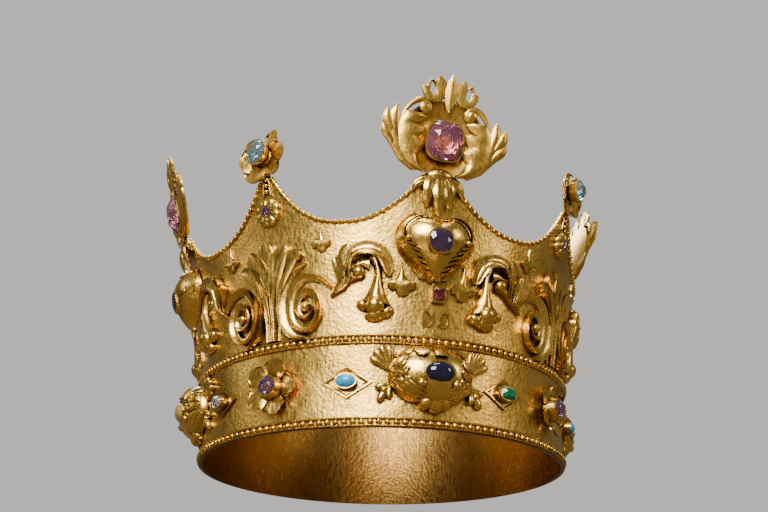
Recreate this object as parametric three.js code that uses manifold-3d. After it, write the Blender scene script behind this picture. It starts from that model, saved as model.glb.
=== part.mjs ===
import * as THREE from 'three';
import { mergeVertices } from 'three/addons/utils/BufferGeometryUtils.js';
import Module from 'manifold-3d';

// Ceremonial crown: an open circlet of sheet gold with four large and four small points.
// Millimetres, +Z up. The origin is the centre of the foot circle and a large point faces -Y.
// Angles are degrees from the front, positive to the viewer's right. Ornaments are drawn flat, with u
// to the right, v up and lift off the wall, and are then bent onto the flared wall.

const wasm = await Module();
wasm.setup();

// Wall: radii of its outer face at four heights, and the thickness of the sheet.
const footRadius = 95;
const beltHeight = 40;
const beltRadius = 97.2;
const shoulderHeight = 80;
const shoulderRadius = 102.5;
const brimHeight = 125;
const brimRadius = 111.5;
const sheetThickness = 1.2;

// Scalloped rim: height of the valleys and of both kinds of point, with the beading on top.
const valleyHeight = 98;
const smallPointHeight = 124;
const largePointDrop = 5;
const largePointHeight = smallPointHeight - largePointDrop;
const largePointHalfWidth = 4;
const smallPointHalfWidth = 3;
const largePointCurve = 2;
const smallPointCurve = 2.7;
const columnsPerValley = 4;

// Clearance between neighbouring pieces, and how far a fused ornament is rooted in the sheet.
const fitGap = 0.3;
const rootDepth = 0.6;

// Beadings: a thick wire along the rim, a belt between the zones and a ring at the foot.
const rimWireSize = 2.2;
const rimWireOverhang = 0.9;
const beltBeadingWidth = 4.2;
const beltBeadingDrop = 1.7;
const beltBeadingRelief = 2.2;
const footBeadingWidth = 4;
const footBeadingRelief = 2;

// Large finial: a leafy shell that leans outwards and is rolled slightly to the right.
const finialLean = 14;
const finialRoll = 4;
const finialHalfWidth = 31;
const finialHeight = 49.5;
const finialShellDepth = 6;
const finialShellRadius = 17;
const finialDishDepth = 3;
const finialDishRadius = 10.2;
const finialStoneHeight = 18;
const pinkStoneWidth = 18;
const pinkStoneHeight = 19.5;
const pinkStoneDepth = 8;

// Calyx of drooping leaves under each large finial.
const calyxHalfWidth = 11.2;
const calyxDrop = 19;
const calyxRelief = 6;

// Small finial: a flat flower with a pale blue stone.
const flowerFinialLean = 6;
const flowerFinialWidth = 24.6;
const flowerFinialHeight = 22;
const flowerFinialDepth = 4;
const blueStoneWidth = 10;
const blueStoneHeight = 12.5;
const blueStoneDepth = 4.5;

// Heart cartouche with a purple stone, and the square garnet below it.
const heartHalfWidth = 19;
const heartRise = 13.5;
const heartDrop = 18;
const heartGap = 0.5;
const heartHeight = largePointHeight - calyxDrop - heartGap - heartRise;
const heartRelief = 12;
const heartStoneWidth = 11;
const heartStoneHeight = 12;
const heartStoneDepth = 4;
const garnetWidth = 5.2;
const garnetLength = 6;
const garnetDepth = 1.8;
const garnetRim = 0.8;
const garnetGap = 1.7;
const garnetHeight = heartHeight - heartDrop - garnetGap - garnetRim - garnetLength / 2;
const garnetSeatRelief = 1.6;
const garnetOffset = 1.5;

// Oval cartouche of the lower zone with a dark blue cabochon.
const ovalHeight = 24;
const ovalHalfWidth = 20;
const ovalRise = 13;
const ovalDrop = 17.5;
const ovalRelief = 11;
const ovalStoneWidth = 14.5;
const ovalStoneHeight = 8.8;
const ovalStoneDepth = 4.5;

// Flower of the lower zone with a purple stone.
const bandFlowerHeight = 20.8;
const bandFlowerWidth = 26.5;
const bandFlowerRelief = 6.5;
const bandFlowerSeatRelief = 4;
const bandStoneWidth = 8.5;
const bandStoneDepth = 4;

// Lozenge settings of the lower zone, one each side of every oval.
const lozengeAngle = 23;
const lozengeHeight = 20.3;
const lozengeWidth = 21.5;
const lozengeTall = 13.5;
const lozengeRelief = 1.2;
const lozengeSeatRelief = 4;
const lozengeStoneWidth = 9.2;
const lozengeStoneHeight = 6.4;
const lozengeStoneDepth = 2.8;

// Scrolling foliage of the upper zone.
const scrollAngle = 18;
const scrollHeight = 70;
const scrollReach = 14;
const scrollRise = 13.5;
const scrollWidth = 5.4;
const scrollRelief = 3.8;
const scrollEyeRadius = 4;
const scrollEyePlace = [3.6, 2.5];
const budPlace = [-3.2, -14.5];
const budWidth = 16;
const budHeight = 12;
const budRelief = 6;
const voluteAngle = 34;
const voluteHeight = 56;
const voluteHalfWidth = 9.8;
const voluteRise = 14.5;
const voluteTurns = 1.6;
const voluteEye = 0.3;
const voluteBandWidth = 4.4;
const voluteRelief = 3.2;

// Palmette under each small point, with a curved leaf on both sides.
const palmetteHeight = 66;
const palmetteHalfWidth = 16.5;
const palmetteRise = 25.5;
const palmetteDrop = 23;
const palmetteRelief = 3.4;
const sideLeafReach = 18.5;
const sideLeafRise = 13;
const sideLeafWidth = 5.2;
const sideLeafRelief = 3.2;

// Small hanging bell leaves, beside each heart and in the valleys of the rim.
const heartBellAngle = 8.5;
const heartBellDrop = 20;
const valleyBellAngle = 30;
const valleyBellDrop = 11;
const bellWidth = 12;
const bellTall = 17;
const bellRelief = 2.4;

// Neck flower below each small finial.
const neckFlowerDrop = 17.5;
const neckFlowerWidth = 14.5;
const neckFlowerRelief = 3;

// Sides of the stones' outlines.
const largeStoneSides = 8;
const smallStoneSides = 6;
const garnetSides = 4;

const goldColour = 0xc8a04a;
const gold = { color: goldColour, metalness: 1, roughness: 0.38 };
const stoneLooks = {
  pink: { color: 0xd98bb0, metalness: 0, roughness: 0.06 },
  purple: { color: 0x5a2f78, metalness: 0, roughness: 0.06 },
  paleBlue: { color: 0x9fd3e6, metalness: 0, roughness: 0.06 },
  garnet: { color: 0x6e1414, metalness: 0, roughness: 0.1 },
  darkBlue: { color: 0x141c3c, metalness: 0, roughness: 0.08 },
  turquoise: { color: 0x3f9fd0, metalness: 0, roughness: 0.35 },
  emerald: { color: 0x0e5a38, metalness: 0, roughness: 0.08 },
};

const degree = Math.PI / 180;
const pointStep = 90;
const valleyAngle = 22.5;

const wallProfile = [
  [0, footRadius],
  [beltHeight, beltRadius],
  [shoulderHeight, shoulderRadius],
  [brimHeight, brimRadius],
];

// Outer radius of the wall at a height, on straight stretches between the profile's heights.
function wallRadius(height) {
  let upper = 1;
  while (upper < wallProfile.length - 1 && height > wallProfile[upper][0]) {
    upper += 1;
  }
  const [lowHeight, lowRadius] = wallProfile[upper - 1];
  const [highHeight, highRadius] = wallProfile[upper];
  const share = (height - lowHeight) / (highHeight - lowHeight);
  return lowRadius + share * (highRadius - lowRadius);
}

function cylinderPoint(angle, radius, height) {
  const turn = angle * degree;
  return [radius * Math.sin(turn), -radius * Math.cos(turn), height];
}

// Bends a flat point of an ornament onto the wall around the ornament's own centre.
function onWall(centreAngle, centreHeight) {
  const scale = 1 / (wallRadius(centreHeight) * degree);
  return ([u, v, lift]) => {
    const height = centreHeight + v;
    return cylinderPoint(centreAngle + u * scale, wallRadius(height) + lift, height);
  };
}

const flat = ([u, v, lift]) => [u, -lift, v];

// Closed body through rings of equal point counts, with a fan to a middle point at both ends.
function loft(rings, firstMiddle, lastMiddle, place) {
  const count = rings[0].length;
  const points = rings.flat().map(place);
  const first = points.length;
  points.push(place(firstMiddle), place(lastMiddle));
  const faces = [];
  for (let i = 0; i < count; i += 1) {
    const next = (i + 1) % count;
    const top = (rings.length - 1) * count;
    faces.push([first, next, i], [first + 1, top + i, top + next]);
    for (let ring = 0; ring < rings.length - 1; ring += 1) {
      const low = ring * count;
      const high = low + count;
      faces.push([low + i, low + next, high + next], [low + i, high + next, high + i]);
    }
  }
  return closedGeometry(points, faces);
}

// Ring that closes on itself, from sections of equal point counts set around the crown.
function closedRing(sections) {
  const count = sections[0].length;
  const faces = [];
  sections.forEach((section, index) => {
    const here = index * count;
    const there = ((index + 1) % sections.length) * count;
    for (let i = 0; i < count; i += 1) {
      const next = (i + 1) % count;
      faces.push([here + i, there + i, there + next], [here + i, there + next, here + next]);
    }
  });
  return closedGeometry(sections.flat(), faces);
}

// Indexed geometry with its faces turned outwards.
function closedGeometry(points, faces) {
  let volume = 0;
  for (const [a, b, c] of faces) {
    const [pa, pb, pc] = [points[a], points[b], points[c]].map((p) => new THREE.Vector3(...p));
    volume += pa.dot(pb.cross(pc));
  }
  const outward = volume > 0 ? faces : faces.map(([a, b, c]) => [a, c, b]);
  const geometry = new THREE.BufferGeometry();
  geometry.setAttribute('position', new THREE.Float32BufferAttribute(points.flat(), 3));
  geometry.setIndex(outward.flat());
  return geometry;
}

// Relief on a star-shaped outline: each layer is the outline drawn in towards the middle at its own lift.
// A layer with a radius is drawn in to a circle of that radius instead. The back closes at its own lift.
function relief(outline, layers, place, middle = [0, 0], backLift = layers[0][1]) {
  const [mu, mv] = middle;
  const rings = layers.map(([scale, lift, radius]) => outline.map(([u, v]) => {
    const reach = radius ? radius / Math.hypot(u - mu, v - mv) : scale;
    return [mu + (u - mu) * reach, mv + (v - mv) * reach, lift];
  }));
  const frontLift = layers[layers.length - 1][1];
  return loft(rings, [mu, mv, backLift], [mu, mv, frontLift], place);
}

// Carved band with a ridge along its middle, narrow at its ends, following a smooth path.
function carvedBand(path, steps, width, height, place) {
  const curve = new THREE.CatmullRomCurve3(path.map(([u, v]) => new THREE.Vector3(u, v, 0)));
  const rings = [];
  for (let i = 0; i <= steps; i += 1) {
    const share = i / steps;
    const swell = 0.35 + 0.65 * Math.sin(Math.PI * share) ** 0.5;
    const at = curve.getPointAt(share);
    const along = curve.getTangentAt(share);
    const half = (width / 2) * swell;
    rings.push([
      [at.x - along.y * half, at.y + along.x * half, -rootDepth],
      [at.x, at.y, height * swell],
      [at.x + along.y * half, at.y - along.x * half, -rootDepth],
    ]);
  }
  const start = rings[0][1];
  const end = rings[steps][1];
  return loft(rings, [start[0], start[1], 0], [end[0], end[1], 0], place);
}

// Outline of a flower with rounded petals and a notch between them.
function petalOutline(width, height, petals, pointsPerPetal, notch) {
  const count = petals * pointsPerPetal;
  return Array.from({ length: count }, (_, i) => {
    const turn = (i / count) * 2 * Math.PI;
    const reach = i % pointsPerPetal === 0 ? 1 - notch : 1;
    return [(width / 2) * reach * Math.sin(turn), (height / 2) * reach * Math.cos(turn)];
  });
}

// Outline given for its right half from the top down, mirrored to the left.
function mirrored(rightHalf) {
  const inner = rightHalf.filter(([u]) => u > 0).map(([u, v]) => [-u, v]).reverse();
  return [...rightHalf, ...inner];
}

function sideways(points, side) {
  return points.map(([u, v]) => [u * side, v]);
}

// Radius that clears the corners of a stone's outline.
function stoneClearance(width, sides) {
  return width / 2 / Math.cos(Math.PI / sides) + fitGap;
}

// Faceted stone with a flat table. A large one also has a girdle above a sloping base.
function cutStone({ width, height, depth, sides, seat, place, middle = [0, 0] }) {
  const half = Math.PI / sides;
  const outline = Array.from({ length: sides }, (_, i) => {
    const turn = (i / sides) * 2 * Math.PI + half;
    return [
      middle[0] + (width / 2) * Math.sin(turn) / Math.cos(half),
      middle[1] + (height / 2) * Math.cos(turn) / Math.cos(half),
    ];
  });
  const base = sides < largeStoneSides ? [[1, seat]] : [[0.7, seat], [1, seat + depth * 0.45]];
  return relief(outline, [...base, [0.66, seat + depth]], place, middle);
}

function toSolid(geometry) {
  const merged = mergeVertices(geometry, 1e-4);
  return new wasm.Manifold(new wasm.Mesh({
    numProp: 3,
    vertProperties: new Float32Array(merged.attributes.position.array),
    triVerts: new Uint32Array(merged.index.array),
  }));
}

function toGeometry(solid) {
  const mesh = solid.getMesh();
  const geometry = new THREE.BufferGeometry();
  geometry.setAttribute('position', new THREE.BufferAttribute(mesh.vertProperties, 3));
  geometry.setIndex(new THREE.BufferAttribute(mesh.triVerts, 1));
  return geometry;
}

// Angles and rim heights of the wall's columns, from one valley to the next around each point.
function rimStations() {
  const points = [
    { centre: 0, height: largePointHeight, half: largePointHalfWidth, curve: largePointCurve },
    { centre: pointStep / 2, height: smallPointHeight, half: smallPointHalfWidth, curve: smallPointCurve },
  ];
  const stations = [];
  for (let turn = 0; turn < 360; turn += pointStep) {
    for (const point of points) {
      const rise = point.height - valleyHeight;
      for (let i = -columnsPerValley; i < columnsPerValley; i += 1) {
        const side = Math.sign(i);
        const share = 1 - (Math.abs(i) - 1) / (columnsPerValley - 1);
        const offset = side * (valleyAngle + (point.half - valleyAngle) * share);
        const height = valleyHeight + rise * Math.max(0, side === 0 ? 1 : share) ** point.curve;
        stations.push({ angle: turn + point.centre + offset, height: height - rimWireSize });
      }
    }
  }
  return stations;
}

const stations = rimStations();

function wallSheet() {
  const levels = wallProfile.slice(0, -1).map(([height]) => height);
  return closedRing(stations.map(({ angle, height }) => {
    const heights = [...levels, height];
    const outer = heights.map((z) => cylinderPoint(angle, wallRadius(z), z));
    const inner = heights.map((z) => cylinderPoint(angle, wallRadius(z) - sheetThickness, z));
    return [...outer, ...inner.reverse()];
  }));
}

// Wire on the rim: its section is set square to the rim's slope, just clear of the sheet's edge.
function rimWire() {
  const count = stations.length;
  return closedRing(stations.map(({ angle, height }, i) => {
    const before = stations[(i + count - 1) % count];
    const after = stations[(i + 1) % count];
    const radius = wallRadius(height);
    const across = (((after.angle - before.angle + 360) % 360) * degree) * radius;
    const climb = after.height - before.height;
    const length = Math.hypot(across, climb);
    const section = [
      [-sheetThickness - fitGap, fitGap],
      [rimWireOverhang, fitGap],
      [(rimWireOverhang - sheetThickness) / 2, rimWireSize],
    ];
    return section.map(([out, up]) => {
      const side = (-up * climb) / length / (radius * degree);
      const top = height + (up * across) / length;
      return cylinderPoint(angle + side, wallRadius(top) + out, top);
    });
  }));
}

// Plain ring of beading around the wall, standing just clear of it.
function beadingRing(lowHeight, width, reliefDepth) {
  const section = [[0, fitGap], [width, fitGap], [width / 2, fitGap + reliefDepth]];
  return closedRing(stations.map(({ angle }) => section.map(([up, out]) => {
    const height = lowHeight + up;
    return cylinderPoint(angle, wallRadius(height) + out, height);
  })));
}

function palmette(angle) {
  const outline = mirrored([
    [0, palmetteRise],
    [0.26 * palmetteHalfWidth, 0.75 * palmetteRise],
    [0.5 * palmetteHalfWidth, 0.88 * palmetteRise],
    [0.64 * palmetteHalfWidth, 0.57 * palmetteRise],
    [0.92 * palmetteHalfWidth, 0.65 * palmetteRise],
    [palmetteHalfWidth, 0.43 * palmetteRise],
    [0.5 * palmetteHalfWidth, 0.02 * palmetteRise],
    [0.15 * palmetteHalfWidth, -0.26 * palmetteDrop],
    [0.14 * palmetteHalfWidth, -palmetteDrop],
  ]);
  const layers = [[1, -rootDepth], [1, 0.6 * palmetteRelief], [0.5, palmetteRelief]];
  return relief(outline, layers, onWall(angle, palmetteHeight));
}

function palmetteSideLeaf(angle, side) {
  const path = [
    [sideLeafReach, sideLeafRise],
    [0.57 * sideLeafReach, 0.54 * sideLeafRise],
    [0.36 * sideLeafReach, -0.09 * palmetteDrop],
    [0.34 * sideLeafReach, -0.48 * palmetteDrop],
    [0.54 * sideLeafReach, -0.85 * palmetteDrop],
    [0.92 * sideLeafReach, -palmetteDrop],
  ];
  const place = onWall(angle, palmetteHeight);
  return carvedBand(sideways(path, side), 5, sideLeafWidth, sideLeafRelief, place);
}

function scrollBand(angle, side) {
  const path = [
    [scrollReach, -0.56 * scrollRise],
    [0.75 * scrollReach, -0.07 * scrollRise],
    [0.7 * scrollReach, 0.52 * scrollRise],
    [0.29 * scrollReach, scrollRise],
    [-0.29 * scrollReach, 0.95 * scrollRise],
    [-0.69 * scrollReach, 0.52 * scrollRise],
    [-0.64 * scrollReach, 0],
    [-0.4 * scrollReach, -0.52 * scrollRise],
    [-0.25 * scrollReach, -0.89 * scrollRise],
  ];
  const place = onWall(angle, scrollHeight);
  return carvedBand(sideways(path, side), 7, scrollWidth, scrollRelief, place);
}

function scrollEye(angle, side) {
  const outline = petalOutline(2 * scrollEyeRadius, 2 * scrollEyeRadius, 4, 1, 0);
  const [middle] = sideways([scrollEyePlace], side);
  const placed = outline.map(([u, v]) => [u + middle[0], v + middle[1]]);
  const layers = [[1, -rootDepth], [0.6, scrollRelief]];
  return relief(placed, layers, onWall(angle, scrollHeight), middle);
}

function scrollBud(angle, side) {
  const [middle] = sideways([budPlace], side);
  const outline = petalOutline(budWidth, budHeight, 3, 2, 0.3);
  const placed = outline.map(([u, v]) => [u + middle[0], middle[1] - v]);
  const layers = [[1, -rootDepth], [0.55, budRelief]];
  return relief(placed, layers, onWall(angle, scrollHeight), middle);
}

function volute(angle, side) {
  const path = [
    [-1.43 * voluteHalfWidth, 0.45 * voluteRise],
    [-0.97 * voluteHalfWidth, 0.76 * voluteRise],
  ];
  const samples = 12;
  for (let i = 0; i <= samples; i += 1) {
    const share = i / samples;
    const turn = share * voluteTurns * 2 * Math.PI;
    const reach = 1 - (1 - voluteEye) * share;
    path.push([voluteHalfWidth * reach * Math.sin(turn), voluteRise * reach * Math.cos(turn)]);
  }
  const place = onWall(angle, voluteHeight);
  return carvedBand(sideways(path, side), 10, voluteBandWidth, voluteRelief, place);
}

function bellLeaf(angle, height) {
  const outline = mirrored([
    [0, 0.6 * bellTall],
    [0.1 * bellWidth, 0.08 * bellTall],
    [0.5 * bellWidth, -0.2 * bellTall],
    [0, -0.4 * bellTall],
  ]);
  return relief(outline, [[1, -rootDepth], [0.5, bellRelief]], onWall(angle, height));
}

function lozengeSetting(angle) {
  const outline = mirrored([[0, lozengeTall / 2], [lozengeWidth / 2, 0], [0, -lozengeTall / 2]]);
  const layers = [
    [1, -rootDepth],
    [1, lozengeRelief],
    [0.62, lozengeRelief],
    [0.42, lozengeSeatRelief],
  ];
  return relief(outline, layers, onWall(angle, lozengeHeight));
}

function neckFlower(angle) {
  const outline = petalOutline(neckFlowerWidth, neckFlowerWidth, 5, 2, 0.18);
  const layers = [[1, -rootDepth], [1, 0.5 * neckFlowerRelief], [0.45, neckFlowerRelief]];
  return relief(outline, layers, onWall(angle, smallPointHeight - neckFlowerDrop));
}

function garnetSeat(angle) {
  const halfWidth = garnetWidth / 2 + garnetRim;
  const halfLength = garnetLength / 2 + garnetRim;
  const outline = mirrored([[halfWidth, halfLength], [halfWidth, -halfLength]]);
  const layers = [[1, -rootDepth], [1, garnetSeatRelief]];
  return relief(outline, layers, onWall(angle + garnetOffset, garnetHeight));
}

// The sheet with all the relief that is raised from it or soldered flat on it.
function crownBody() {
  const pieces = [];
  for (let turn = 0; turn < 360; turn += pointStep) {
    const small = turn + pointStep / 2;
    pieces.push(palmette(small), neckFlower(small), garnetSeat(turn));
    for (const side of [-1, 1]) {
      const scroll = turn + side * scrollAngle;
      pieces.push(
        palmetteSideLeaf(small, side),
        scrollBand(scroll, side),
        scrollEye(scroll, side),
        scrollBud(scroll, side),
        volute(turn + side * voluteAngle, side),
        lozengeSetting(turn + side * lozengeAngle),
      );
      pieces.push(bellLeaf(turn + side * heartBellAngle, heartHeight - heartBellDrop));
      pieces.push(bellLeaf(turn + side * valleyBellAngle, valleyHeight - valleyBellDrop));
    }
  }
  return toGeometry(pieces.reduce((body, piece) => body.add(toSolid(piece)), toSolid(wallSheet())));
}

function heartCartouche() {
  const outline = mirrored([
    [0, 0.86 * heartRise],
    [0.33 * heartHalfWidth, heartRise],
    [0.66 * heartHalfWidth, 0.92 * heartRise],
    [0.92 * heartHalfWidth, 0.58 * heartRise],
    [heartHalfWidth, 0.12 * heartRise],
    [0.9 * heartHalfWidth, -0.28 * heartDrop],
    [0.62 * heartHalfWidth, -0.6 * heartDrop],
    [0.28 * heartHalfWidth, -0.84 * heartDrop],
    [0, -heartDrop],
  ]);
  const layers = [
    [0.5, fitGap],
    [1, fitGap],
    [0.8, 0.7 * heartRelief],
    [0.36, heartRelief],
  ];
  return relief(outline, layers, onWall(0, heartHeight));
}

function ovalCartouche() {
  const outline = mirrored([
    [0, 0.92 * ovalRise],
    [0.3 * ovalHalfWidth, ovalRise],
    [0.66 * ovalHalfWidth, 0.86 * ovalRise],
    [0.92 * ovalHalfWidth, 0.48 * ovalRise],
    [ovalHalfWidth, 0],
    [0.88 * ovalHalfWidth, -0.36 * ovalDrop],
    [0.6 * ovalHalfWidth, -0.66 * ovalDrop],
    [0.32 * ovalHalfWidth, -0.8 * ovalDrop],
    [0.22 * ovalHalfWidth, -0.95 * ovalDrop],
    [0, -ovalDrop],
  ]);
  const layers = [
    [0.5, fitGap],
    [1, fitGap],
    [0.8, 0.7 * ovalRelief],
    [0.4, ovalRelief],
  ];
  return relief(outline, layers, onWall(0, ovalHeight));
}

function bandFlower() {
  const outline = petalOutline(bandFlowerWidth, bandFlowerWidth, 5, 3, 0.25);
  const seatRadius = stoneClearance(bandStoneWidth, smallStoneSides);
  const layers = [
    [1, 2 * fitGap],
    [0.7, bandFlowerRelief],
    [1, bandFlowerSeatRelief, seatRadius],
  ];
  return relief(outline, layers, onWall(0, bandFlowerHeight));
}

function calyx() {
  const outline = mirrored([
    [0, 0],
    [0.45 * calyxHalfWidth, -0.06 * calyxDrop],
    [0.72 * calyxHalfWidth, -0.24 * calyxDrop],
    [0.84 * calyxHalfWidth, -0.4 * calyxDrop],
    [calyxHalfWidth, -0.6 * calyxDrop],
    [0.6 * calyxHalfWidth, -0.6 * calyxDrop],
    [0.46 * calyxHalfWidth, -0.88 * calyxDrop],
    [0.22 * calyxHalfWidth, -0.74 * calyxDrop],
    [0, -calyxDrop],
  ]);
  const back = rimWireOverhang + fitGap;
  const layers = [[1, back], [0.5, back + calyxRelief]];
  const middle = [0, -0.42 * calyxDrop];
  return relief(outline, layers, onWall(0, largePointHeight), middle);
}

function largeFinial() {
  const middle = [0, finialStoneHeight];
  const outline = mirrored([
    [0, finialHeight],
    [0.08 * finialHalfWidth, 0.91 * finialHeight],
    [0.18 * finialHalfWidth, 0.97 * finialHeight],
    [0.2 * finialHalfWidth, 0.9 * finialHeight],
    [0.31 * finialHalfWidth, 0.92 * finialHeight],
    [0.29 * finialHalfWidth, 0.86 * finialHeight],
    [0.42 * finialHalfWidth, 0.84 * finialHeight],
    [0.39 * finialHalfWidth, 0.77 * finialHeight],
    [0.58 * finialHalfWidth, 0.7 * finialHeight],
    [0.69 * finialHalfWidth, 0.6 * finialHeight],
    [0.9 * finialHalfWidth, 0.635 * finialHeight],
    [0.885 * finialHalfWidth, 0.56 * finialHeight],
    [finialHalfWidth, 0.545 * finialHeight],
    [0.88 * finialHalfWidth, 0.47 * finialHeight],
    [finialHalfWidth, 0.4 * finialHeight],
    [0.79 * finialHalfWidth, 0.27 * finialHeight],
    [0.64 * finialHalfWidth, 0.15 * finialHeight],
    [0.42 * finialHalfWidth, 0.05 * finialHeight],
    [0, 0],
  ]);
  const layers = [
    [1, 0.4 * finialShellDepth],
    [1, finialShellDepth, finialShellRadius],
    [1, finialDishDepth, finialDishRadius],
  ];
  return relief(outline, layers, flat, middle, 0);
}

function flowerFinial() {
  const middle = [0, flowerFinialHeight / 2];
  const outline = petalOutline(flowerFinialWidth, flowerFinialHeight, 5, 3, 0.16);
  const placed = outline.map(([u, v]) => [u, middle[1] - v]);
  const layers = [[1, 0.6 * flowerFinialDepth], [0.5, flowerFinialDepth]];
  return relief(placed, layers, flat, middle, 0);
}

const crown = new THREE.Group();

function addMesh(parent, name, geometry, look) {
  const mesh = new THREE.Mesh(geometry, new THREE.MeshStandardMaterial(look));
  mesh.name = name;
  parent.add(mesh);
  return mesh;
}

// Frame at the top of a point, leaning outwards by an angle and rolled about its own outward axis.
function finialFrame(angle, height, lean, roll) {
  const turn = new THREE.Group();
  turn.rotation.z = angle * degree;
  const foot = new THREE.Group();
  foot.position.set(0, -(wallRadius(height) - sheetThickness), height);
  foot.rotation.x = lean * degree;
  const body = new THREE.Group();
  body.rotation.y = roll * degree;
  foot.add(body);
  turn.add(foot);
  crown.add(turn);
  return body;
}

function quarterFrame(angle) {
  const turn = new THREE.Group();
  turn.rotation.z = angle * degree;
  crown.add(turn);
  return turn;
}

addMesh(crown, 'crown_body', crownBody(), gold);
addMesh(crown, 'rim_beading', rimWire(), gold);
const beltBeading = beadingRing(beltHeight - beltBeadingDrop, beltBeadingWidth, beltBeadingRelief);
addMesh(crown, 'belt_beading', beltBeading, gold);
addMesh(crown, 'foot_beading', beadingRing(fitGap, footBeadingWidth, footBeadingRelief), gold);

const sides = ['front', 'right', 'back', 'left'];
const corners = ['front_right', 'back_right', 'back_left', 'front_left'];

sides.forEach((side, i) => {
  const angle = i * pointStep;
  const quarter = quarterFrame(angle);
  addMesh(quarter, `heart_cartouche_${side}`, heartCartouche(), gold);
  addMesh(quarter, `heart_stone_${side}`, cutStone({
    width: heartStoneWidth,
    height: heartStoneHeight,
    depth: heartStoneDepth,
    sides: largeStoneSides,
    seat: heartRelief + fitGap,
    place: onWall(0, heartHeight),
  }), stoneLooks.purple);
  addMesh(quarter, `garnet_${side}`, cutStone({
    width: garnetWidth,
    height: garnetLength,
    depth: garnetDepth,
    sides: garnetSides,
    seat: garnetSeatRelief + fitGap,
    place: onWall(garnetOffset, garnetHeight),
  }), stoneLooks.garnet);
  addMesh(quarter, `oval_cartouche_${side}`, ovalCartouche(), gold);
  addMesh(quarter, `oval_stone_${side}`, cutStone({
    width: ovalStoneWidth,
    height: ovalStoneHeight,
    depth: ovalStoneDepth,
    sides: largeStoneSides,
    seat: ovalRelief + fitGap,
    place: onWall(0, ovalHeight),
  }), stoneLooks.darkBlue);
  addMesh(quarter, `calyx_${side}`, calyx(), gold);

  const finialFoot = largePointHeight + 2 * fitGap;
  const finial = finialFrame(angle, finialFoot, finialLean, finialRoll);
  addMesh(finial, `large_finial_${side}`, largeFinial(), gold);
  addMesh(finial, `pink_stone_${side}`, cutStone({
    width: pinkStoneWidth,
    height: pinkStoneHeight,
    depth: pinkStoneDepth,
    sides: largeStoneSides,
    seat: finialDishDepth + fitGap,
    place: flat,
    middle: [0, finialStoneHeight],
  }), stoneLooks.pink);

  for (const [name, direction] of [['right', 1], ['left', -1]]) {
    addMesh(quarter, `lozenge_stone_${side}_${name}`, cutStone({
      width: lozengeStoneWidth,
      height: lozengeStoneHeight,
      depth: lozengeStoneDepth,
      sides: smallStoneSides,
      seat: lozengeSeatRelief + fitGap,
      place: onWall(direction * lozengeAngle, lozengeHeight),
    }), direction > 0 ? stoneLooks.emerald : stoneLooks.turquoise);
  }
});

corners.forEach((corner, i) => {
  const angle = (i + 0.5) * pointStep;
  const quarter = quarterFrame(angle);
  addMesh(quarter, `band_flower_${corner}`, bandFlower(), gold);
  addMesh(quarter, `band_stone_${corner}`, cutStone({
    width: bandStoneWidth,
    height: bandStoneWidth,
    depth: bandStoneDepth,
    sides: smallStoneSides,
    seat: bandFlowerSeatRelief + fitGap,
    place: onWall(0, bandFlowerHeight),
  }), stoneLooks.purple);

  const finialFoot = smallPointHeight + 2 * fitGap;
  const finial = finialFrame(angle, finialFoot, flowerFinialLean, 0);
  addMesh(finial, `flower_finial_${corner}`, flowerFinial(), gold);
  addMesh(finial, `blue_stone_${corner}`, cutStone({
    width: blueStoneWidth,
    height: blueStoneHeight,
    depth: blueStoneDepth,
    sides: largeStoneSides,
    seat: flowerFinialDepth + fitGap,
    place: flat,
    middle: [0, flowerFinialHeight / 2],
  }), stoneLooks.paleBlue);
});

export default crown;
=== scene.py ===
import math
import random

import bmesh
import bpy
import numpy as np
from mathutils import Matrix, Vector, noise


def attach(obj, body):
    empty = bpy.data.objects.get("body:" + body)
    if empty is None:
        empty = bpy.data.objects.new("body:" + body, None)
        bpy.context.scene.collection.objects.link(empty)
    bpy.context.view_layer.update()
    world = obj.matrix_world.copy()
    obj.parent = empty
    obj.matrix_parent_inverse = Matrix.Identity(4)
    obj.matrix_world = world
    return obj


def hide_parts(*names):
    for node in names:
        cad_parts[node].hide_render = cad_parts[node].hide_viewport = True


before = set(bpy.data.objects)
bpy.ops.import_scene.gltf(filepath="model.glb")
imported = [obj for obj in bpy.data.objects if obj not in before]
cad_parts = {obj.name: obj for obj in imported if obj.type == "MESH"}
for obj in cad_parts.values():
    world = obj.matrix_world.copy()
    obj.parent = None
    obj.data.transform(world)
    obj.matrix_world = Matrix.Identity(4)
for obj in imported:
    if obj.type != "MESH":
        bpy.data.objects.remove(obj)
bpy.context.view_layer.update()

# Ceremonial crown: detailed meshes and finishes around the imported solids.
# Lengths below are millimetres and angles are degrees from the front, positive to the viewer's right.
# Ornaments are drawn flat (u right, v up, lift off the ground) and then placed on the wall or in a finial.

MM = 0.001
DEGREE = math.pi / 180
FULL_TURN = 2 * math.pi
RNG = random.Random(7)

SHEET = 1.2
FOOT_RADIUS, FLARE, FLARE_GROWTH = 95.0, 0.02, 0.0009
VALLEY_HEIGHT = 98.0
HALF_BAY = 22.5
LARGE_POINT = {"height": 119.0, "half": 4.0, "curve": 2.0}
SMALL_POINT = {"height": 124.0, "half": 2.1, "curve": 2.7}
RIM_WIRE = 2.2
FIT_GAP = 0.3
SHARP_EDGE = 38.0

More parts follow.
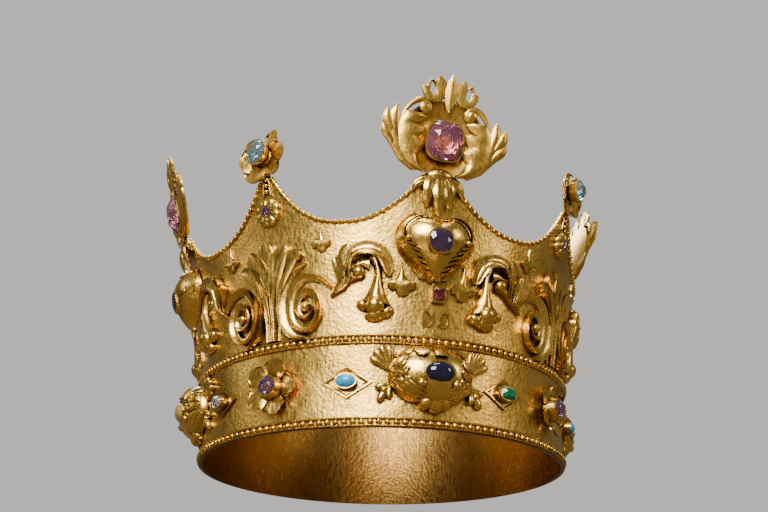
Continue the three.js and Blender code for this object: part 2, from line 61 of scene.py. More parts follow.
# Where the ornaments sit: heights of their middles, and their lean and roll on the points
HEART_HEIGHT, OVAL_HEIGHT, CALYX_HEIGHT = 86.0, 24.0, 119.0
GARNET_TURN, GARNET_HEIGHT = 1.5, 62.5
BAND_FLOWER_HEIGHT, NECK_FLOWER_HEIGHT = 20.8, 106.5
LOZENGE_TURN, LOZENGE_HEIGHT = 23, 20.3
PALMETTE_HEIGHT, SCROLL_HEIGHT, VOLUTE_HEIGHT = 66.0, 70.0, 56.0
SEAT_ABOVE_POINT = 0.6
LARGE_FINIAL = (LARGE_POINT["height"] + SEAT_ABOVE_POINT, 14, 4)
SMALL_FINIAL = (SMALL_POINT["height"] + SEAT_ABOVE_POINT, 6, 0)

# Middles of the stones, and how far the pale blue one is turned in its flower
PINK_MIDDLE, HEART_STONE_MIDDLE, OVAL_STONE_MIDDLE = (0.2, 17.2), (0.2, -1.8), (1.4, -0.6)
BLUE_MIDDLE, BLUE_SPIN = (-0.6, 11.2), -28

SIDES = {"front": 0.0, "right": 90.0, "back": 180.0, "left": 270.0}
CORNERS = {"front_right": 45.0, "back_right": 135.0, "back_left": 225.0, "front_left": 315.0}


# Wall and rim


def wall_radius(height):
    return FOOT_RADIUS + FLARE * height + FLARE_GROWTH * height * height


def rim_height(angle):
    """Height of the rim's top, beading included, at an angle."""
    turn = angle % 90.0
    point, offset = LARGE_POINT, min(turn, 90.0 - turn)
    if offset > HALF_BAY:
        point, offset = SMALL_POINT, abs(turn - 45.0)
    share = min(1.0, (HALF_BAY - offset) / (HALF_BAY - point["half"]))
    return VALLEY_HEIGHT + (point["height"] - VALLEY_HEIGHT) * share ** point["curve"]


def around_axis(turn, radius, height):
    """Points at a turn in radians, a radius and a height."""
    return np.stack([radius * np.sin(turn), -radius * np.cos(turn), height + 0.0 * turn], axis=-1)


# Paths, profiles and widths


def curve(points, count):
    """Evenly spaced points on a smooth path through given ones."""
    p = np.asarray(points, float)
    p = np.vstack([2 * p[0] - p[1], p, 2 * p[-1] - p[-2]])
    dense = []
    for a, b, c, d in zip(p, p[1:], p[2:], p[3:]):
        for t in np.linspace(0, 1, 24, endpoint=False):
            bend = (2 * a - 5 * b + 4 * c - d) * t * t + (3 * b - a - 3 * c + d) * t ** 3
            dense.append(0.5 * (2 * b + (c - a) * t + bend))
    dense = np.array(dense + [p[-2]])
    length = np.concatenate([[0], np.cumsum(np.linalg.norm(np.diff(dense, axis=0), axis=1))])
    at = np.linspace(0, length[-1], count)
    return np.stack([np.interp(at, length, dense[:, k]) for k in range(p.shape[1])], axis=1)


def through(points, count):
    """Points on the straight lines through given ones, corners kept, in equal numbers per line."""
    p = np.asarray(points, float)
    at = np.linspace(0, len(p) - 1, count)
    return np.stack([np.interp(at, np.arange(len(p)), p[:, k]) for k in range(p.shape[1])], axis=1)


def oval_outline(width, height, points=48, square=2.0):
    turn = np.linspace(0, FULL_TURN, points, endpoint=False)
    c, s = np.cos(turn), np.sin(turn)
    r = (np.abs(c) ** square + np.abs(s) ** square) ** (-1.0 / square)
    return np.stack([width / 2 * r * s, height / 2 * r * c], axis=1)


def rounded(s):
    return np.sqrt(np.clip(1.0 - 0.92 * s * s, 0.0, 1.0))


def ridged(s):
    return 1.0 - 0.75 * np.abs(s)


def gutter(s):
    return 0.35 + 0.65 * s * s


def half_ball(r):
    """Height of a half ball at a share of its radius."""
    return np.sqrt(np.clip(1 - r * r, 0, 1))


def leaf_width(full, tip=0.7, start=0.35):
    """Width along a leaf that swells from its base and closes in a rounded point."""

    def width(t):
        swell = start + (1 - start) * np.sin(np.clip(t / tip, 0, 1) * math.pi / 2)
        close = np.sqrt(np.clip(1 - ((t - tip) / (1 - tip)).clip(0, 1) ** 2.2, 0.0, 1))
        return full * np.maximum(swell * close, 0.03)

    return width


def pointed(full, base=0.45, widest=0.4):
    """Width along a leaf that ends in a sharp point."""

    def width(t):
        swell = base + (1 - base) * np.sin(np.clip(t / widest, 0, 1) * math.pi / 2)
        close = np.cos(np.clip((t - widest) / (1 - widest), 0, 1) * math.pi / 2) ** 0.8
        return full * np.maximum(swell * close, 0.02)

    return width


def band_width(full, start=0.3, end=0.3):
    """Width along a scroll that tapers at both ends."""

    def width(t):
        rise = start + (1 - start) * np.sin(np.clip(t / 0.35, 0, 1) * math.pi / 2)
        fall = end + (1 - end) * np.sin(np.clip((1 - t) / 0.35, 0, 1) * math.pi / 2)
        return full * rise * fall

    return width


# Mesh building


class Shape:
    """Faces gathered from many closed forms, in millimetres, which become one mesh."""

    def __init__(self):
        self.points = []
        self.faces = []
        self.total = 0

    def add(self, points, faces):
        start = self.total
        self.points.append(np.asarray(points, float).reshape(-1, 3))
        self.faces.extend([tuple(i + start for i in face) for face in faces])
        self.total += len(self.points[-1])

    def ring(self, rings, closed=True):
        """Body through rings of points. The last ring meets the first one, or else both ends are capped."""
        rows, columns = rings.shape[:2]
        faces = []
        for r in range(rows if closed else rows - 1):
            for c in range(columns):
                d = (c + 1) % columns
                low, high = r * columns, ((r + 1) % rows) * columns
                faces.append((low + c, low + d, high + d, high + c))
        if not closed:
            faces.append(tuple(range(columns))[::-1])
            faces.append(tuple((rows - 1) * columns + c for c in range(columns)))
        self.add(rings, faces)

    def piece(self, name, material, replaces=(), sharp=SHARP_EDGE):
        mesh = bpy.data.meshes.new(name)
        mesh.from_pydata((np.concatenate(self.points) * MM).tolist(), [], self.faces)
        bm = bmesh.new()
        bm.from_mesh(mesh)
        bmesh.ops.recalc_face_normals(bm, faces=bm.faces)
        bm.to_mesh(mesh)
        bm.free()
        mesh.polygons.foreach_set("use_smooth", [True] * len(mesh.polygons))
        mesh.set_sharp_from_angle(angle=sharp * DEGREE)
        thing = bpy.data.objects.new(name, mesh)
        bpy.context.scene.collection.objects.link(thing)
        mesh.materials.append(material)
        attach(thing, "root")
        if replaces:
            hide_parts(*replaces)


class Place:
    """Where a flat drawing goes, and the shape that gets its forms. A call bends flat points into place."""

    def __init__(self, shape, put):
        self.shape, self.put = shape, put

    def __call__(self, u, v, lift):
        return self.put(u, v, lift)

    def moved(self, du=0.0, dv=0.0, spin=0.0, rise=0.0, mirror=1.0):
        """Place for a form drawn about its own middle, turned and moved inside a larger ornament."""
        c, s = math.cos(spin * DEGREE), math.sin(spin * DEGREE)
        return Place(self.shape, lambda u, v, lift: self.put(
            mirror * (du + u * c - v * s), dv + u * s + v * c, lift + rise))

    def body(self, u, v, lift):
        """Adds a closed body through rows of flat points."""
        self.shape.ring(self.put(u, v, lift), closed=False)

    def leaf(self, u, v, top, thickness=None, sink=-0.5):
        """Closes a surface: down to the ground, which may be another form, or with a thickness of its own."""
        if callable(sink):
            ground = sink(u, v)
            top = top + ground
            sink = ground[:, [-1, 0]] - 0.6
        if thickness is None:
            low, edges = sink + np.zeros((len(u), 2)), [-1, 0]
            self.body(np.hstack([u, u[:, edges]]), np.hstack([v, v[:, edges]]), np.hstack([top, low]))
        else:
            back = top[:, ::-1] - thickness
            self.body(np.hstack([u, u[:, ::-1]]), np.hstack([v, v[:, ::-1]]), np.hstack([top, back]))

    def band(self, path, width, lift, relief, profile=rounded, thickness=None, steps=36, across=9, sink=-0.5):
        """Carved band along a path. Its width and lift may change along it, and profile shapes its back."""
        t = np.linspace(0, 1, steps)
        s = np.linspace(-1, 1, across)
        line = curve(path, steps)
        along = np.gradient(line[:, :2], axis=0)
        along /= np.linalg.norm(along, axis=1, keepdims=True) + 1e-9
        full = width(t) if callable(width) else np.full(steps, float(width))
        level = lift(t) if callable(lift) else np.full(steps, float(lift))
        half = full[:, None] / 2 * s[None, :]
        swell = np.clip(full / max(full.max(), 1e-6), 0.15, 1.0) ** 0.7
        top = level[:, None] + relief * swell[:, None] * profile(s)[None, :]
        u = line[:, 0, None] - along[:, 1, None] * half
        self.leaf(u, line[:, 1, None] + along[:, 0, None] * half, top, thickness, sink)

    def strip(self, steps, left, right, lift, across=11, thickness=None, sink=-0.5):
        """Leaf between two edges. lift takes the share across (-1 to 1) and along (0 to 1)."""
        left, right = through(left, steps)[:, None, :], through(right, steps)[:, None, :]
        s = np.linspace(-1, 1, across)[None, :]
        t = np.linspace(0, 1, steps)[:, None]
        mix = (s + 1) / 2
        u = left[:, :, 0] * (1 - mix) + right[:, :, 0] * mix
        v = left[:, :, 1] * (1 - mix) + right[:, :, 1] * mix
        self.leaf(u, v, lift(s, t) + 0 * u, thickness, sink)

    def pierced(self, outline, hole, middle, front, thickness, columns=72):
        """Flat plate with one hole, both star-shaped around the middle."""
        turn = np.linspace(0, FULL_TURN, columns, endpoint=False)

        def reach(points, count):
            p = through(list(points) + [points[0]], count) - np.asarray(middle, float)
            at = np.arctan2(p[:, 0], p[:, 1]) % FULL_TURN
            order = np.argsort(at)
            return np.interp(turn, at[order], np.hypot(p[:, 0], p[:, 1])[order], period=FULL_TURN)

        outer, inner = reach(outline, 240), reach(hole, 120)
        back = front - thickness
        section = [(inner, back), (outer, back), (outer, front - 0.3), (outer * 0.97, front),
                   (0.5 * (inner + outer), front + 0.5), (inner * 1.04, front)]
        self.shape.ring(np.stack([
            self(middle[0] + radius * np.sin(turn), middle[1] + radius * np.cos(turn), lift + 0.0 * turn)
            for radius, lift in section
        ]))

    def dome(self, outline, height, rings=14, middle=(0, 0), sink=-0.5):
        """Relief on a star-shaped outline. height takes the share out from the middle."""
        share = np.concatenate([[1.0], np.linspace(1.0, 0.02, rings)])[:, None]
        mu, mv = middle
        u = mu + share * (outline[:, 0] - mu)[None, :]
        v = mv + share * (outline[:, 1] - mv)[None, :]
        lift = height(share) * np.ones_like(u)
        lift[0, :] = sink
        self.body(u, v, lift)

    def ball(self, u, v, lift, radius, squash=1.0, around=12, rings=7, low=-0.6):
        """Bead whose middle stands at a lift. It is cut off flat where it would reach below low."""
        phi = np.linspace(0.12, math.pi - 0.12, rings)[:, None]
        theta = np.linspace(0, FULL_TURN, around, endpoint=False)[None, :]
        reach = radius * np.sin(phi)
        pu, pv = u + reach * np.cos(theta), v + reach * np.sin(theta)
        self.body(pu, pv, np.maximum(lift + radius * squash * np.cos(phi) + 0 * pu, low))

    def collet(self, width, height, low, high, flare=1.0, wall=0.7, square=2.0, middle=(0, 0)):
        """Metal cup with a thin rim that holds a stone."""
        out = oval_outline(width, height, square=square)
        inside = oval_outline(width - 2 * wall, height - 2 * wall, square=square)
        rings = np.stack([out * flare, out, out, inside, inside * 0.9]) + np.array(middle)
        rise = high - low
        lifts = np.array([low, low + 0.8 * rise, high, high, low + 0.3 * rise])
        self.body(rings[:, :, 0], rings[:, :, 1], lifts[:, None] + 0 * rings[:, :, 0])

    def cabochon(self, width, height, base, top, middle=(0, 0)):
        """Smooth domed stone."""
        outline = oval_outline(width, height) + np.array(middle)
        self.dome(outline, lambda r: base + (top - base) * np.sqrt(np.clip(1 - 0.97 * r * r, 0, 1)), 12,
                  middle, base - 0.3)

    def brilliant(self, width, height, base, girdle, table, square=2.0, middle=(0, 0), sides=8):
        """Faceted stone: table, star and kite facets, girdle and a pavilion that ends in a small culet."""
        mu, mv = middle
        crown, depth = table - girdle, girdle - base

        def layer(count, share, shift, lift):
            turn = (np.arange(count) + shift) / count * FULL_TURN
            c, s = np.cos(turn), np.sin(turn)
            r = (np.abs(c) ** square + np.abs(s) ** square) ** (-1.0 / square) * share
            return self(mu + width / 2 * r * s, mv + height / 2 * r * c, np.full(count, lift))

        n, m = sides, 2 * sides
        layers = [
            layer(n, 0.52, 0.5, table),
            layer(n, 0.78, 0.0, girdle + 0.62 * crown),
            layer(m, 1.0, 0.0, girdle + 0.06 * crown),
            layer(m, 1.0, 0.0, girdle - 0.06 * crown),
            layer(n, 0.55, 0.5, girdle - 0.55 * depth),
            layer(n, 0.04, 0.0, base),
        ]
        top, star, upper, lower, pavilion, culet = np.cumsum([0] + [len(x) for x in layers[:-1]]).tolist()
        faces = [tuple(top + i for i in range(n))]
        for i in range(n):
            j, k, q = (i + 1) % n, 2 * i, (2 * i + 1) % m
            after, before = (2 * i + 2) % m, (2 * i - 1) % m
            faces += [
                (top + i, top + (i - 1) % n, star + i),
                (top + i, star + i, upper + q, star + j),
                (star + i, upper + k, upper + q),
                (star + i, upper + before, upper + k),
                (lower + k, lower + q, pavilion + i),
                (lower + q, lower + after, pavilion + i),
                (pavilion + i, lower + after, pavilion + j, culet + j),
                (upper + k, upper + q, lower + q, lower + k),
                (upper + q, upper + after, lower + after, lower + q),
            ]
        faces.append(tuple(culet + i for i in range(n)))
        self.shape.add(np.vstack(layers), faces)


def on_wall(shape, angle, height):
    """Place that bends a flat drawing onto the wall around an ornament's middle."""
    per_mm = 1.0 / wall_radius(height)

    def put(u, v, lift):
        z = height + v
        return around_axis(angle * DEGREE + u * per_mm, wall_radius(z) + lift, z)

    return Place(shape, put)


def in_finial(shape, angle, height, lean, roll):
    """Place for a flat ornament that stands on a point, leaning outwards and rolled to one side."""
    whole = np.array(
        Matrix.Rotation(angle * DEGREE, 4, "Z")
        @ Matrix.Translation((0.0, -(wall_radius(height) - SHEET), height))
        @ Matrix.Rotation(lean * DEGREE, 4, "X")
        @ Matrix.Rotation(roll * DEGREE, 4, "Y")
    )
    return Place(shape, lambda u, v, lift: np.stack([u, -lift, v], axis=-1) @ whole[:3, :3].T + whole[:3, 3])


class Mound:
    """Rounded body on a star-shaped outline. Smaller bands are laid on it by its height at a point."""

    def __init__(self, outline, middle, base, rise, power):
        self.middle, self.base, self.rise, self.power = middle, base, rise, power
        d = outline - np.asarray(middle, float)
        turn = np.arctan2(d[:, 0], d[:, 1]) % FULL_TURN
        order = np.argsort(turn)
        self.turns, self.reach = turn[order], np.hypot(d[:, 0], d[:, 1])[order]

    def level(self, share):
        return self.base + self.rise * np.clip(1 - np.clip(share, 0, 1) ** 2, 0, 1) ** self.power

    def __call__(self, u, v):
        du, dv = u - self.middle[0], v - self.middle[1]
        turn = np.arctan2(du, dv) % FULL_TURN
        return self.level(np.hypot(du, dv) / np.interp(turn, self.turns, self.reach, period=FULL_TURN))


# Materials


class Nodes:
    """Short calls to build a procedural material, or the world."""

    def __init__(self, tree):
        self.tree = tree

    def feed(self, node, inputs):
        """Gives sockets, by name or number, a plain value or the output that feeds them."""
        for key, value in inputs.items():
            socket = node.inputs[key]
            if isinstance(value, bpy.types.NodeSocket):
                self.tree.links.new(value, socket)
            else:
                socket.default_value = (*value, 1) if socket.type == "RGBA" else value

    def node(self, kind, inputs, output=0, **settings):
        made = self.tree.nodes.new("ShaderNode" + kind)
        for key, value in settings.items():
            setattr(made, key, value)
        self.feed(made, inputs)
        return made.outputs[output]

    def object_space(self, scale=(1, 1, 1)):
        return self.node("Mapping", {"Vector": self.node("TexCoord", {}, "Object"), "Scale": scale})

    def noise(self, size, detail=3.0, roughness=0.55, scale=(1, 1, 1)):
        return self.node("TexNoise", {"Vector": self.object_space(scale), "Scale": size, "Detail": detail,
                                      "Roughness": roughness})

    def ramp(self, value, *stops):
        colour = self.node("ValToRGB", {"Fac": value})
        ramp = colour.node.color_ramp
        ramp.elements[0].position, ramp.elements[0].color = stops[0][0], (*stops[0][1], 1)
        ramp.elements[1].position, ramp.elements[1].color = stops[-1][0], (*stops[-1][1], 1)
        for position, tint in stops[1:-1]:
            ramp.elements.new(position).color = (*tint, 1)
        return colour

    def mix(self, factor, a, b):
        return self.node("Mix", {0: factor, 6: a, 7: b}, 2, data_type="RGBA")

    def spread(self, value, low, high, a=0.0, b=1.0):
        """Maps a value from the range a to b onto the range low to high."""
        return self.node("MapRange", {"Value": value, "From Min": a, "From Max": b, "To Min": low,
                                      "To Max": high})


class Surface(Nodes):
    """Nodes of one material around its Principled shader."""

    def __init__(self, name):
        self.material = bpy.data.materials.new(name)
        self.material.use_nodes = True
        super().__init__(self.material.node_tree)
        self.shader = self.tree.nodes["Principled BSDF"]

    def set(self, inputs):
        """Gives the shader's sockets a plain value or the output that feeds them."""
        self.feed(self.shader, inputs)

    def bump(self, *heights):
        """Adds bumps one after another: (height, strength, distance in metres)."""
        normal = {}
        for value, strength, distance in heights:
            made = self.node("Bump", {"Height": value, "Strength": strength, "Distance": distance, **normal})
            normal = {"Normal": made}
        self.set(normal)


def halfway(a, b):
    return tuple(0.5 * (x + y) for x, y in zip(a, b))


def gold_material(name, light, dark, rough, brush, pit, shade=0.85, reach=3.0, speck=0.25, dark_inside=False):
    """Worked gold: patches of colour, upright tool marks, small pits, brown specks and painted shade in the
    recesses.
    """
    speck_and_shade_brown, inside_brown = (0.07, 0.035, 0.01), (0.16, 0.075, 0.025)
    m = Surface(name)
    patches = m.noise(38.0, 4.0)
    grain = m.noise(900.0, 2.0, 0.6, (1, 1, 0.22))
    marks = m.noise(640.0, 3.0, 0.6, (1, 1, 0.35))
    pits = m.noise(620.0, 2.0, 0.5)
    specks = m.noise(1100.0, 2.0, 0.7)
    colour = m.ramp(patches, (0.30, dark), (0.52, halfway(light, dark)), (0.72, light))
    colour = m.mix(m.spread(marks, 0.0, 0.3, 0.4, 0.75), colour, dark)
    colour = m.mix(m.spread(specks, 0.0, speck, 0.56, 0.70), colour, speck_and_shade_brown)
    # Painted shade: occlusion darkens the colour towards brown in recesses and between parts
    hollow = m.node("AmbientOcclusion", {"Distance": reach * MM}, "AO", samples=8)
    colour = m.mix(m.spread(hollow, shade, 0.0, 0.35, 0.85), colour, speck_and_shade_brown)
    if dark_inside:
        # The colour turns dark brown on the side that faces the axis
        facing = m.node("VectorMath", {0: m.object_space((1, 1, 0)), 1: m.node("NewGeometry", {}, "Normal")},
                        "Value", operation="DOT_PRODUCT")
        colour = m.mix(m.spread(facing, 0.0, 0.8, 0.0, -0.05), colour, inside_brown)
    m.set({"Base Color": colour, "Metallic": 1.0, "Roughness": m.spread(grain, *rough, 0.3, 0.7)})
    m.bump((marks, brush, 0.0006), (pits, pit, 0.0004), (patches, 0.25, 0.002))
    return m.material


def stone_material(name, colour, ior=1.62, clarity=0.9, cloud=0.15):
    """Clear or half-clear stone with slightly cloudy colour."""
    m = Surface(name)
    deep = tuple(c * (1 - 2.2 * cloud) for c in colour)
    clouds = m.ramp(m.noise(260.0, 2.0), (0.3, deep), (0.7, colour))
    m.set({"Base Color": clouds, "Roughness": 0.02, "IOR": ior, "Transmission Weight": clarity})
    return m.material


def opaque_stone(name, colour, vein):
    m = Surface(name)
    clouds = m.noise(420.0, 5.0, 0.65)
    pale = tuple(min(1, c * 1.15) for c in colour)
    tint = m.ramp(clouds, (0.35, vein), (0.5, colour), (0.75, pale))
    m.set({"Base Color": tint, "Roughness": 0.22, "Coat Weight": 0.2})
    m.bump((clouds, 0.05, 0.0003))
    return m.material


SHEET_GOLD = gold_material("sheet_gold", (0.93, 0.615, 0.13), (0.52, 0.315, 0.06), (0.24, 0.44), 0.14, 0.5,
                           speck=0.8, dark_inside=True)
RAISED_GOLD = gold_material("raised_gold", (0.95, 0.63, 0.14), (0.60, 0.37, 0.07), (0.18, 0.32), 0.10, 0.2,
                            shade=1.0)
FINIAL_GOLD = gold_material("finial_gold", (0.90, 0.585, 0.12), (0.58, 0.35, 0.06), (0.26, 0.40), 0.12, 0.2,
                            shade=1.0)
BEADED_GOLD = gold_material("beaded_gold", (0.96, 0.62, 0.13), (0.62, 0.36, 0.06), (0.20, 0.36), 0.1, 0.1,
                            shade=0.5, reach=1.5)

PINK = stone_material("pink_stone", (0.93, 0.38, 0.62), 1.75, 0.94, 0.05)
PURPLE = stone_material("purple_stone", (0.50, 0.25, 0.70), 1.75, 0.96, 0.05)
PALE_BLUE = stone_material("pale_blue_stone", (0.50, 0.84, 0.96), 1.66, 0.9, 0.05)
GARNET = stone_material("garnet", (0.42, 0.03, 0.03), 1.75)
DARK_BLUE = stone_material("dark_blue_stone", (0.006, 0.007, 0.026), 1.6, 0.05)
YELLOW = stone_material("yellow_stone", (0.95, 0.68, 0.15), 1.65, 0.6)
EMERALD = stone_material("emerald", (0.005, 0.26, 0.12), 1.58, 0.5)
CLEAR = stone_material("clear_stone", (0.92, 0.94, 0.95), 1.65)
TURQUOISE = opaque_stone("turquoise", (0.03, 0.30, 0.62), (0.02, 0.20, 0.44))


# Sheet wall


def make_wall():
    shape = Shape()
    columns, outer_rows, inner_rows, dent = 864, 44, 14, 0.28
    angles = np.arange(columns) * 360.0 / columns
    tops = np.array([rim_height(a) for a in angles])[:, None] - RIM_WIRE + 0.7
    turn = angles[:, None] * DEGREE
    share = np.linspace(0, 1, outer_rows)[None, :]
    outer_z, inner_z = tops * share, tops * np.linspace(1, 0, inner_rows)[None, :]
    uneven = np.array([
        [noise.noise(Vector((math.sin(a * DEGREE) * 6, math.cos(a * DEGREE) * 6, h / 16))) for h in row]
        for a, row in zip(angles, outer_z)
    ])
    edge = np.clip(np.minimum(share, 1 - share) * 12, 0, 1)
    outer = wall_radius(outer_z) + dent * uneven * edge
    inner = wall_radius(inner_z) - SHEET
    shape.ring(around_axis(turn, np.hstack([outer, inner]), np.hstack([outer_z, inner_z])))
    shape.piece("sheet_wall", SHEET_GOLD, ["crown_body"])


# Beadings


def rim_angles(step):
    """Angles of evenly spaced points along the rim."""
    angles = np.linspace(0, 360, 7200, endpoint=False)
    z = np.array([rim_height(a) for a in angles])
    p = around_axis(angles * DEGREE, wall_radius(z), z)
    length = np.concatenate([[0], np.cumsum(np.linalg.norm(np.diff(np.vstack([p, p[:1]]), axis=0), axis=1))])
    count = int(length[-1] / step)
    return np.interp(np.arange(count) * length[-1] / count, length[:-1], angles)


def rim_frame(angle):
    """Point on the rim's top, and its directions outwards, along the rim and square to it."""
    z, before, after = (rim_height(angle + d) for d in (0.0, -0.15, 0.15))
    r = wall_radius(z)
    along = Vector((0.3 * DEGREE * r, after - before))
    along.normalize()
    out = np.array([math.sin(angle * DEGREE), -math.cos(angle * DEGREE), 0.0])
    side = np.array([math.cos(angle * DEGREE), math.sin(angle * DEGREE), 0.0])
    up = np.array([0.0, 0.0, 1.0])
    tangent, normal = side * along.x + up * along.y, up * along.x - side * along.y
    return np.array([r * out[0], r * out[1], z]), out, tangent, normal


def make_rim_beading():
    """Wire that follows the scalloped rim, with beads in front of it."""
    shape = Shape()
    wire_step, bead_step, wire_radius = 1.6, 3.3, 1.02
    rings = []
    for angle in rim_angles(wire_step):
        p, out, _, normal = rim_frame(angle)
        centre = p - normal * (RIM_WIRE / 2 - 0.1) - out * 0.15
        section = np.linspace(0, FULL_TURN, 8, endpoint=False)
        rings.append([centre + wire_radius * (out * math.cos(a) + normal * 0.95 * math.sin(a))
                      for a in section])
    shape.ring(np.array(rings))
    for angle in rim_angles(bead_step):
        p, out, tangent, normal = rim_frame(angle + RNG.uniform(-0.05, 0.05))
        centre = p - normal * (RIM_WIRE / 2 - 0.05) + out * 0.1
        place = Place(shape, lambda u, v, lift: (
            centre + u[..., None] * tangent + v[..., None] * normal + lift[..., None] * out))
        place.ball(0.0, 0.0, 0.0, RNG.uniform(1.18, 1.34), squash=0.95, around=8, rings=6, low=-2.0)
    shape.piece("rim_beads", BEADED_GOLD, ["rim_beading"])


def make_ring_beading(name, middle, half, pitch, size, node):
    """Row of beads between two thin wires around the wall."""
    shape = Shape()
    columns, wire_lift, half_height, half_depth = 288, 0.55, 0.5, 0.6
    turn = (np.arange(columns) * 360.0 / columns)[:, None] * DEGREE
    section = np.linspace(0, FULL_TURN, 8, endpoint=False)[None, :]
    for height in (middle - half, middle + half):
        z = height + half_height * np.sin(section) + 0 * turn
        shape.ring(around_axis(turn, wall_radius(z) + wire_lift + half_depth * np.cos(section), z))
    count = int(FULL_TURN * wall_radius(middle) / pitch)
    for i in range(count):
        place = on_wall(shape, i * 360.0 / count, middle)
        place.ball(0.0, RNG.uniform(-0.08, 0.08), 0.45, size * RNG.uniform(0.95, 1.05), squash=0.85,
                   around=10, rings=6)
    shape.piece(name, BEADED_GOLD, [node])


# Foliage on the wall


def palmette(shape, angle):
    """Fan of hollow flutes on a stem, with a curved leaf on both sides that hugs the volutes."""
    place = on_wall(shape, angle, PALMETTE_HEIGHT)

    def flute_width(full, stem):
        return lambda t: full * np.clip(stem + (1 - stem) * np.clip((t - 0.25) / 0.5, 0, 1), 0, 1) * np.sqrt(
            np.clip(1.02 - np.clip((t - 0.72) / 0.28, 0, 1) ** 2.4, 0.01, 1))

    flutes = [
        ([(-1.9, -23), (-2.8, -6), (-7.4, 5), (-13.4, 12.2), (-17.0, 13.6)], 8.2),
        ([(-1.2, -23), (-1.8, -4), (-5.0, 9), (-9.6, 19), (-11.4, 21.4)], 9.4),
        ([(1.9, -23), (2.6, -5), (6.6, 7), (11.8, 15), (16.4, 17.6)], 8.6),
        ([(1.0, -23), (1.6, -4), (3.8, 10), (7.2, 19), (8.6, 22.4)], 8.8),
        ([(0, -23), (0, -4), (-1.2, 12), (-2.2, 25.6)], 9.4),
    ]
    place.strip(33, [(-4.0, -23), (-4.2, -8), (-8.6, 2), (-13.6, 9), (-14.0, 14)],
                [(4.0, -23), (4.4, -8), (8.2, 3), (12.4, 10), (13.0, 15)],
                lambda s, t: 0.8 + 1.2 * t + 0.9 * (1 - s * s), sink=-0.2)
    for path, width in flutes:
        place.band(path, flute_width(width, 0.3), lambda t: 1.3 + 1.5 * t, 1.3, gutter, steps=40, across=11)
    for side in (-1, 1):
        leaf = place.moved(mirror=side)
        path = [(18.8, 12.8), (12.5, 9.2), (8.8, 3), (7.2, -6), (8.0, -15), (12.2, -21.5), (19, -24)]
        leaf.band(path, band_width(6.2, 0.12, 0.2), 0.9, 3.0, lambda s: 0.58 - 0.42 * s - 0.3 * (1 - s * s),
                  steps=46, across=11)


def scroll(shape, angle, side):
    """Acanthus scroll: a trunk that curls to a round eye, an arching leaf and a branch with a bud."""
    place = on_wall(shape, angle, SCROLL_HEIGHT).moved(mirror=side)
    place.strip(41, [(16.6, -9.4), (14.2, -8.1), (10.4, -6.2), (7.2, -2.9), (4.6, -1.7), (1.6, -1.2)],
                [(16.8, -8.0), (14.4, -5.2), (12.6, -2.6), (11.8, 1.6), (9.0, 5.2), (4.4, 5.0)],
                lambda s, t: 1.4 + 1.3 * t + 1.0 * s * s)
    place.ball(3.2, 1.5, 2.0, 3.1, squash=0.9, around=24, rings=14)
    place.strip(17, [(4.6, 4.4), (1.4, 4.6), (-1.6, 2.9)], [(4.4, 5.4), (1.0, 7.2), (-1.8, 7.4)],
                lambda s, t: 2.4 + 0.5 * (1 - s * s))
    for path, width in (
        ([(11.8, -3.8), (12.2, 1.0), (12.8, 5.0), (14.4, 8.8)], 4.4),
        ([(10.4, -3.6), (10.8, 3.0), (9.8, 9.0), (7.4, 14.8)], 5.4),
    ):
        place.band(path, leaf_width(width, 0.72, 0.4), lambda t: 1.6 + 1.4 * t, 1.5, gutter, steps=34,
                   across=11)
    arch = [(8.4, -2.8), (8.6, 3.4), (7.8, 8.2), (4.0, 11.8), (-2.0, 12.6), (-7.4, 9.8), (-10.0, 4.6),
            (-10.6, -0.2)]
    place.band(arch, lambda t: 7.0 * np.clip(0.35 + 1.3 * t, 0, 1) * np.sqrt(np.clip(1.01 - t ** 7, 0.01, 1)),
               lambda t: 2.0 + 1.4 * np.sin(math.pi * t), 2.1,
               lambda s: 0.5 + 0.5 * s - 0.3 * np.cos(2.6 * s) + 0.35 * np.exp(-((s - 0.35) / 0.16) ** 2),
               steps=76, across=17)
    place.strip(41, [(-0.6, 8.6), (-3.4, 4.5), (-4.2, 0.5), (-2.6, -4.5), (-0.6, -9.5), (2.0, -12.4)],
                [(-7.0, 8.2), (-7.4, 3.0), (-7.6, -0.5), (-8.1, -4.5), (-9.2, -9.5), (-11.6, -14.4)],
                lambda s, t: 1.2 + 1.5 * t + 2.4 * (1 - s * s))
    for u, v, width, height, spin in ((1.4, -14.0, 6.6, 5.0, 25), (-10.0, -17.2, 7.4, 5.4, -35),
                                      (-4.6, -18.6, 10.4, 6.4, -8)):
        lobe = place.moved(u, v, spin=spin)
        lobe.dome(oval_outline(width, height, 32), lambda r: 0.8 + 3.4 * half_ball(r), rings=10)
    place.ball(-4.4, -14.6, 2.4, 4.6, squash=0.95, around=30, rings=18)


def volute(shape, angle, side):
    """Spiral with a round eye, drawn as a path that winds inwards."""
    place = on_wall(shape, angle, VOLUTE_HEIGHT).moved(mirror=side)
    path = [(-14.4, 6.4), (-11.6, 9.2), (-6.5, 13.4)]
    turns = 1.85
    for i in range(30):
        share = i / 29
        turn = share * turns * FULL_TURN
        reach = 1 - 0.80 * share ** 0.85
        path.append((9.4 * reach * math.sin(turn) + 0.4, 14.4 * reach ** 1.08 * math.cos(turn) + 0.6))
    place.band(path, lambda t: 4.3 * (0.25 + 0.75 * np.clip(t / 0.25, 0, 1)) * (1 - 0.5 * t),
               lambda t: 0.8 + 1.4 * t, 2.6, lambda s: 0.55 + 0.45 * s - 0.25 * (1 - s * s), steps=150,
               across=9)
    place.ball(0.8, 0.9, 1.6, 2.5, squash=1.15, around=20, rings=12)


